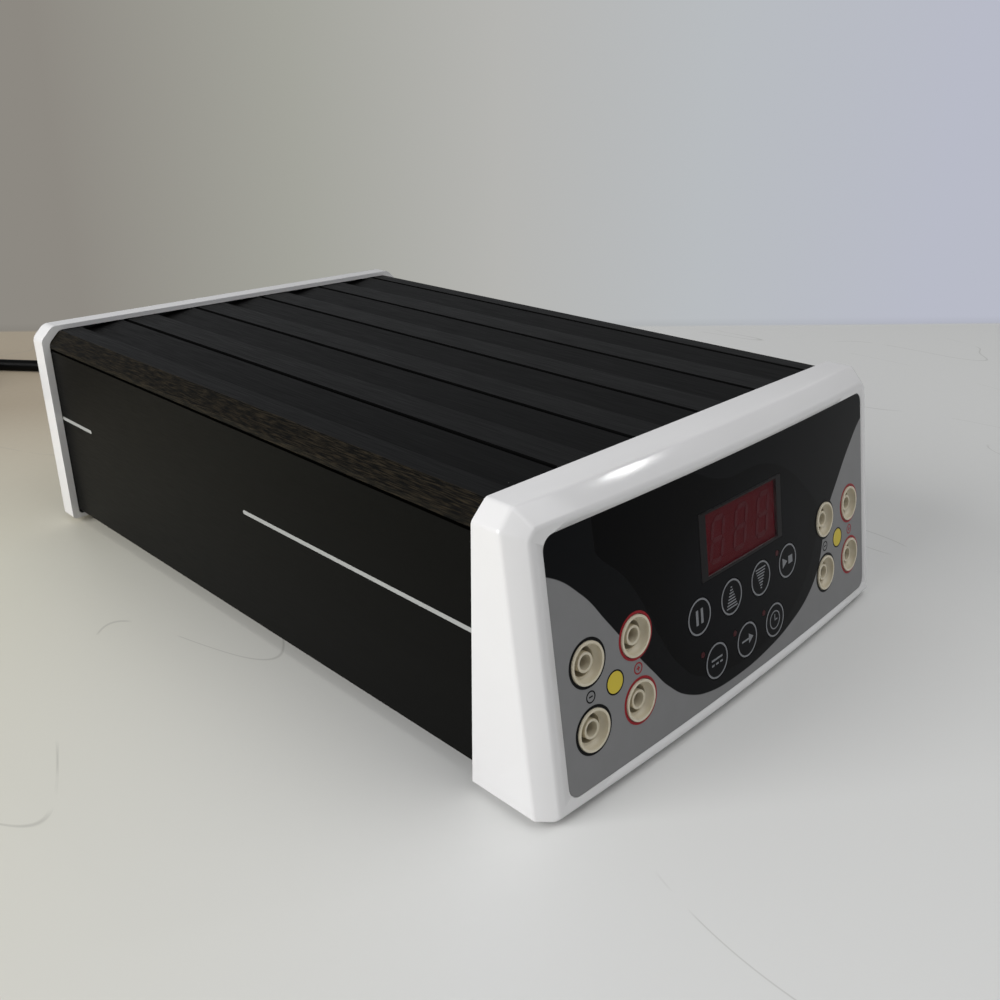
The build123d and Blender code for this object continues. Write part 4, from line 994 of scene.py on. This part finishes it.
def painted_bench(floor_colour):
    """Pale satin paint with a few fine scratches, with a warm painted shade that darkens it to the left, and
    the wall's tone from WALL_LINE on, far behind the case."""
    material, tree, shader = new_material("painted_bench")
    place = add_node(tree, "ShaderNodeTexCoord").outputs["Object"]
    depth, across = [
        add_node(tree, "ShaderNodeVectorMath", {0: place, 1: line}, operation="DOT_PRODUCT").outputs["Value"]
        for line in (WALL_WAY, ACROSS_WAY)
    ]
    # Painted shade: the bench grows darker and warmer to its left and deeper into the view
    left_shade = layered(tree, "#d3d0c0", (depth, *BENCH_SHADE_DEPTH, "#aea18c"))
    paint_and_shade = layered(tree, left_shade, (across, *BENCH_SHADE_EDGE, floor_colour))

    swing = grains(tree, SCRATCH_GRAIN, SCRATCH_STRETCH)
    swing = add_node(tree, "ShaderNodeMath", {0: swing, 1: 0.5}, operation="SUBTRACT")
    swing = add_node(tree, "ShaderNodeMath", {0: swing.outputs[0]}, operation="ABSOLUTE")
    off_line = add_node(tree, "ShaderNodeMapRange", {
        "Value": swing.outputs[0], "From Min": SCRATCH_WIDTH[0], "From Max": SCRATCH_WIDTH[1],
    })
    off_patch = add_node(tree, "ShaderNodeMapRange", {
        "Value": grains(tree, PATCH_GRAIN), "From Min": PATCH_RIM[0], "From Max": PATCH_RIM[1],
    })
    whole = add_node(
        tree, "ShaderNodeMath", {0: off_line.outputs[0], 1: off_patch.outputs[0]}, operation="MAXIMUM",
    ).outputs[0]
    scratch = layered(tree, "#8f8d86", (SCRATCH_FADED, 0, 1, paint_and_shade))
    colour = layered(tree, scratch, (whole, 0, 1, paint_and_shade))
    finish_shader(tree, shader, colour, 0.5, 0.03, grains(tree, 3), 0.002, {})

    # From WALL_LINE on the camera sees a glow in the wall's tone, with its painted shade to the left and at
    # its foot
    far = add_node(tree, "ShaderNodeMapRange", {
        "Value": depth, "From Min": WALL_LINE - WALL_LINE_SOFT, "From Max": WALL_LINE + WALL_LINE_SOFT,
    }).outputs[0]
    rays = add_node(tree, "ShaderNodeLightPath").outputs["Is Camera Ray"]
    seen = add_node(tree, "ShaderNodeMath", {0: far, 1: rays}, operation="MULTIPLY").outputs[0]
    way = add_node(tree, "ShaderNodeVectorMath", {0: place, 1: CAMERA_PLACE}, operation="SUBTRACT").outputs[0]
    foot = add_node(tree, "ShaderNodeMapRange", {
        "Value": depth, "From Min": WALL_LINE, "From Max": WALL_LINE + WALL_FOOT, "To Min": WALL_FOOT_SHADE,
    }).outputs[0]
    tone = wall_tone(tree, wall_share(tree, way))
    wall = add_node(tree, "ShaderNodeEmission", {"Color": tone, "Strength": foot}).outputs[0]
    mix = add_node(tree, "ShaderNodeMixShader", {0: seen, 1: shader.outputs[0], 2: wall}).outputs[0]
    output = next(node for node in tree.nodes if node.type == "OUTPUT_MATERIAL")
    tree.links.new(mix, output.inputs["Surface"])
    return material


class SUPPLY_OT_stage(bpy.types.Operator):
    """Pale bench, lamps, room light and the wall's tone"""

    bl_idname = "supply.stage"
    bl_label = "Stage"

    def execute(self, context):
        stage = context.scene.supply_stage
        bm = bmesh.new()
        bmesh.ops.create_circle(bm, cap_ends=True, segments=96, radius=BENCH_RADIUS)
        mesh = bpy.data.meshes.new("bench")
        bm.to_mesh(mesh)
        bm.free()
        bench = bpy.data.objects.new("bench", mesh)
        context.collection.objects.link(bench)
        mesh.materials.append(painted_bench(tuple(stage.floor_colour)))
        world = bpy.data.worlds.new("room")
        world.use_nodes = True
        tree = world.node_tree
        tree.nodes.clear()
        rays = add_node(tree, "ShaderNodeLightPath").outputs["Is Camera Ray"]
        room = add_node(tree, "ShaderNodeBackground", {
            "Color": ROOM_COLOUR, "Strength": stage.world_strength,
        })
        way = add_node(tree, "ShaderNodeTexCoord").outputs["Generated"]
        wall = add_node(tree, "ShaderNodeBackground", {"Color": wall_tone(tree, wall_share(tree, way))})
        mix = add_node(tree, "ShaderNodeMixShader", {0: rays, 1: room.outputs[0], 2: wall.outputs[0]})
        add_node(tree, "ShaderNodeOutputWorld", {"Surface": mix.outputs[0]})
        context.scene.world = world
        for name, place, size, share in LAMPS:
            data = bpy.data.lights.new(name, "AREA")
            data.shape = "SQUARE"
            data.size = size
            data.energy = stage.key_power * share
            lamp = bpy.data.objects.new(name, data)
            context.collection.objects.link(lamp)
            aim = (-Vector(place)).to_track_quat("-Z", "Y").to_matrix().to_4x4()
            lamp.matrix_world = Matrix.Translation(place) @ aim
        context.scene.view_settings.view_transform = "Standard"
        return {"FINISHED"}


STEPS = (
    SUPPLY_OT_camera, SUPPLY_OT_lead, SUPPLY_OT_bezels, SUPPLY_OT_case, SUPPLY_OT_panel, SUPPLY_OT_keys,
    SUPPLY_OT_display, SUPPLY_OT_inside, SUPPLY_OT_stage,
)
GROUPS = {"supply_stage": SupplyStage, "supply_lead": SupplyLead, "supply_print": SupplyPrint}


class SUPPLY_PT_panel(bpy.types.Panel):
    """Lists the pieces and their sizes"""

    bl_idname = "SUPPLY_PT_panel"
    bl_label = "Power supply"
    bl_space_type = "VIEW_3D"
    bl_region_type = "UI"
    bl_category = "Power supply"

    def draw(self, context):
        for name in GROUPS:
            group = getattr(context.scene, name)
            box = self.layout.box()
            for key in group.bl_rna.properties.keys():
                if key not in ("rna_type", "name"):
                    box.prop(group, key)
        for step in STEPS:
            self.layout.operator(step.bl_idname)


def register():
    for made in (*GROUPS.values(), *STEPS, SUPPLY_PT_panel):
        bpy.utils.register_class(made)
    for name, group in GROUPS.items():
        setattr(bpy.types.Scene, name, bpy.props.PointerProperty(type=group))


def unregister():
    for name in GROUPS:
        delattr(bpy.types.Scene, name)
    for made in reversed((*GROUPS.values(), *STEPS, SUPPLY_PT_panel)):
        bpy.utils.unregister_class(made)


def main():
    """Builds the pieces in order."""
    register()
    for step in STEPS:
        group, _, name = step.bl_idname.partition(".")
        getattr(getattr(bpy.ops, group), name)()
    bpy.context.view_layer.update()


if __name__ == "__main__":
    main()
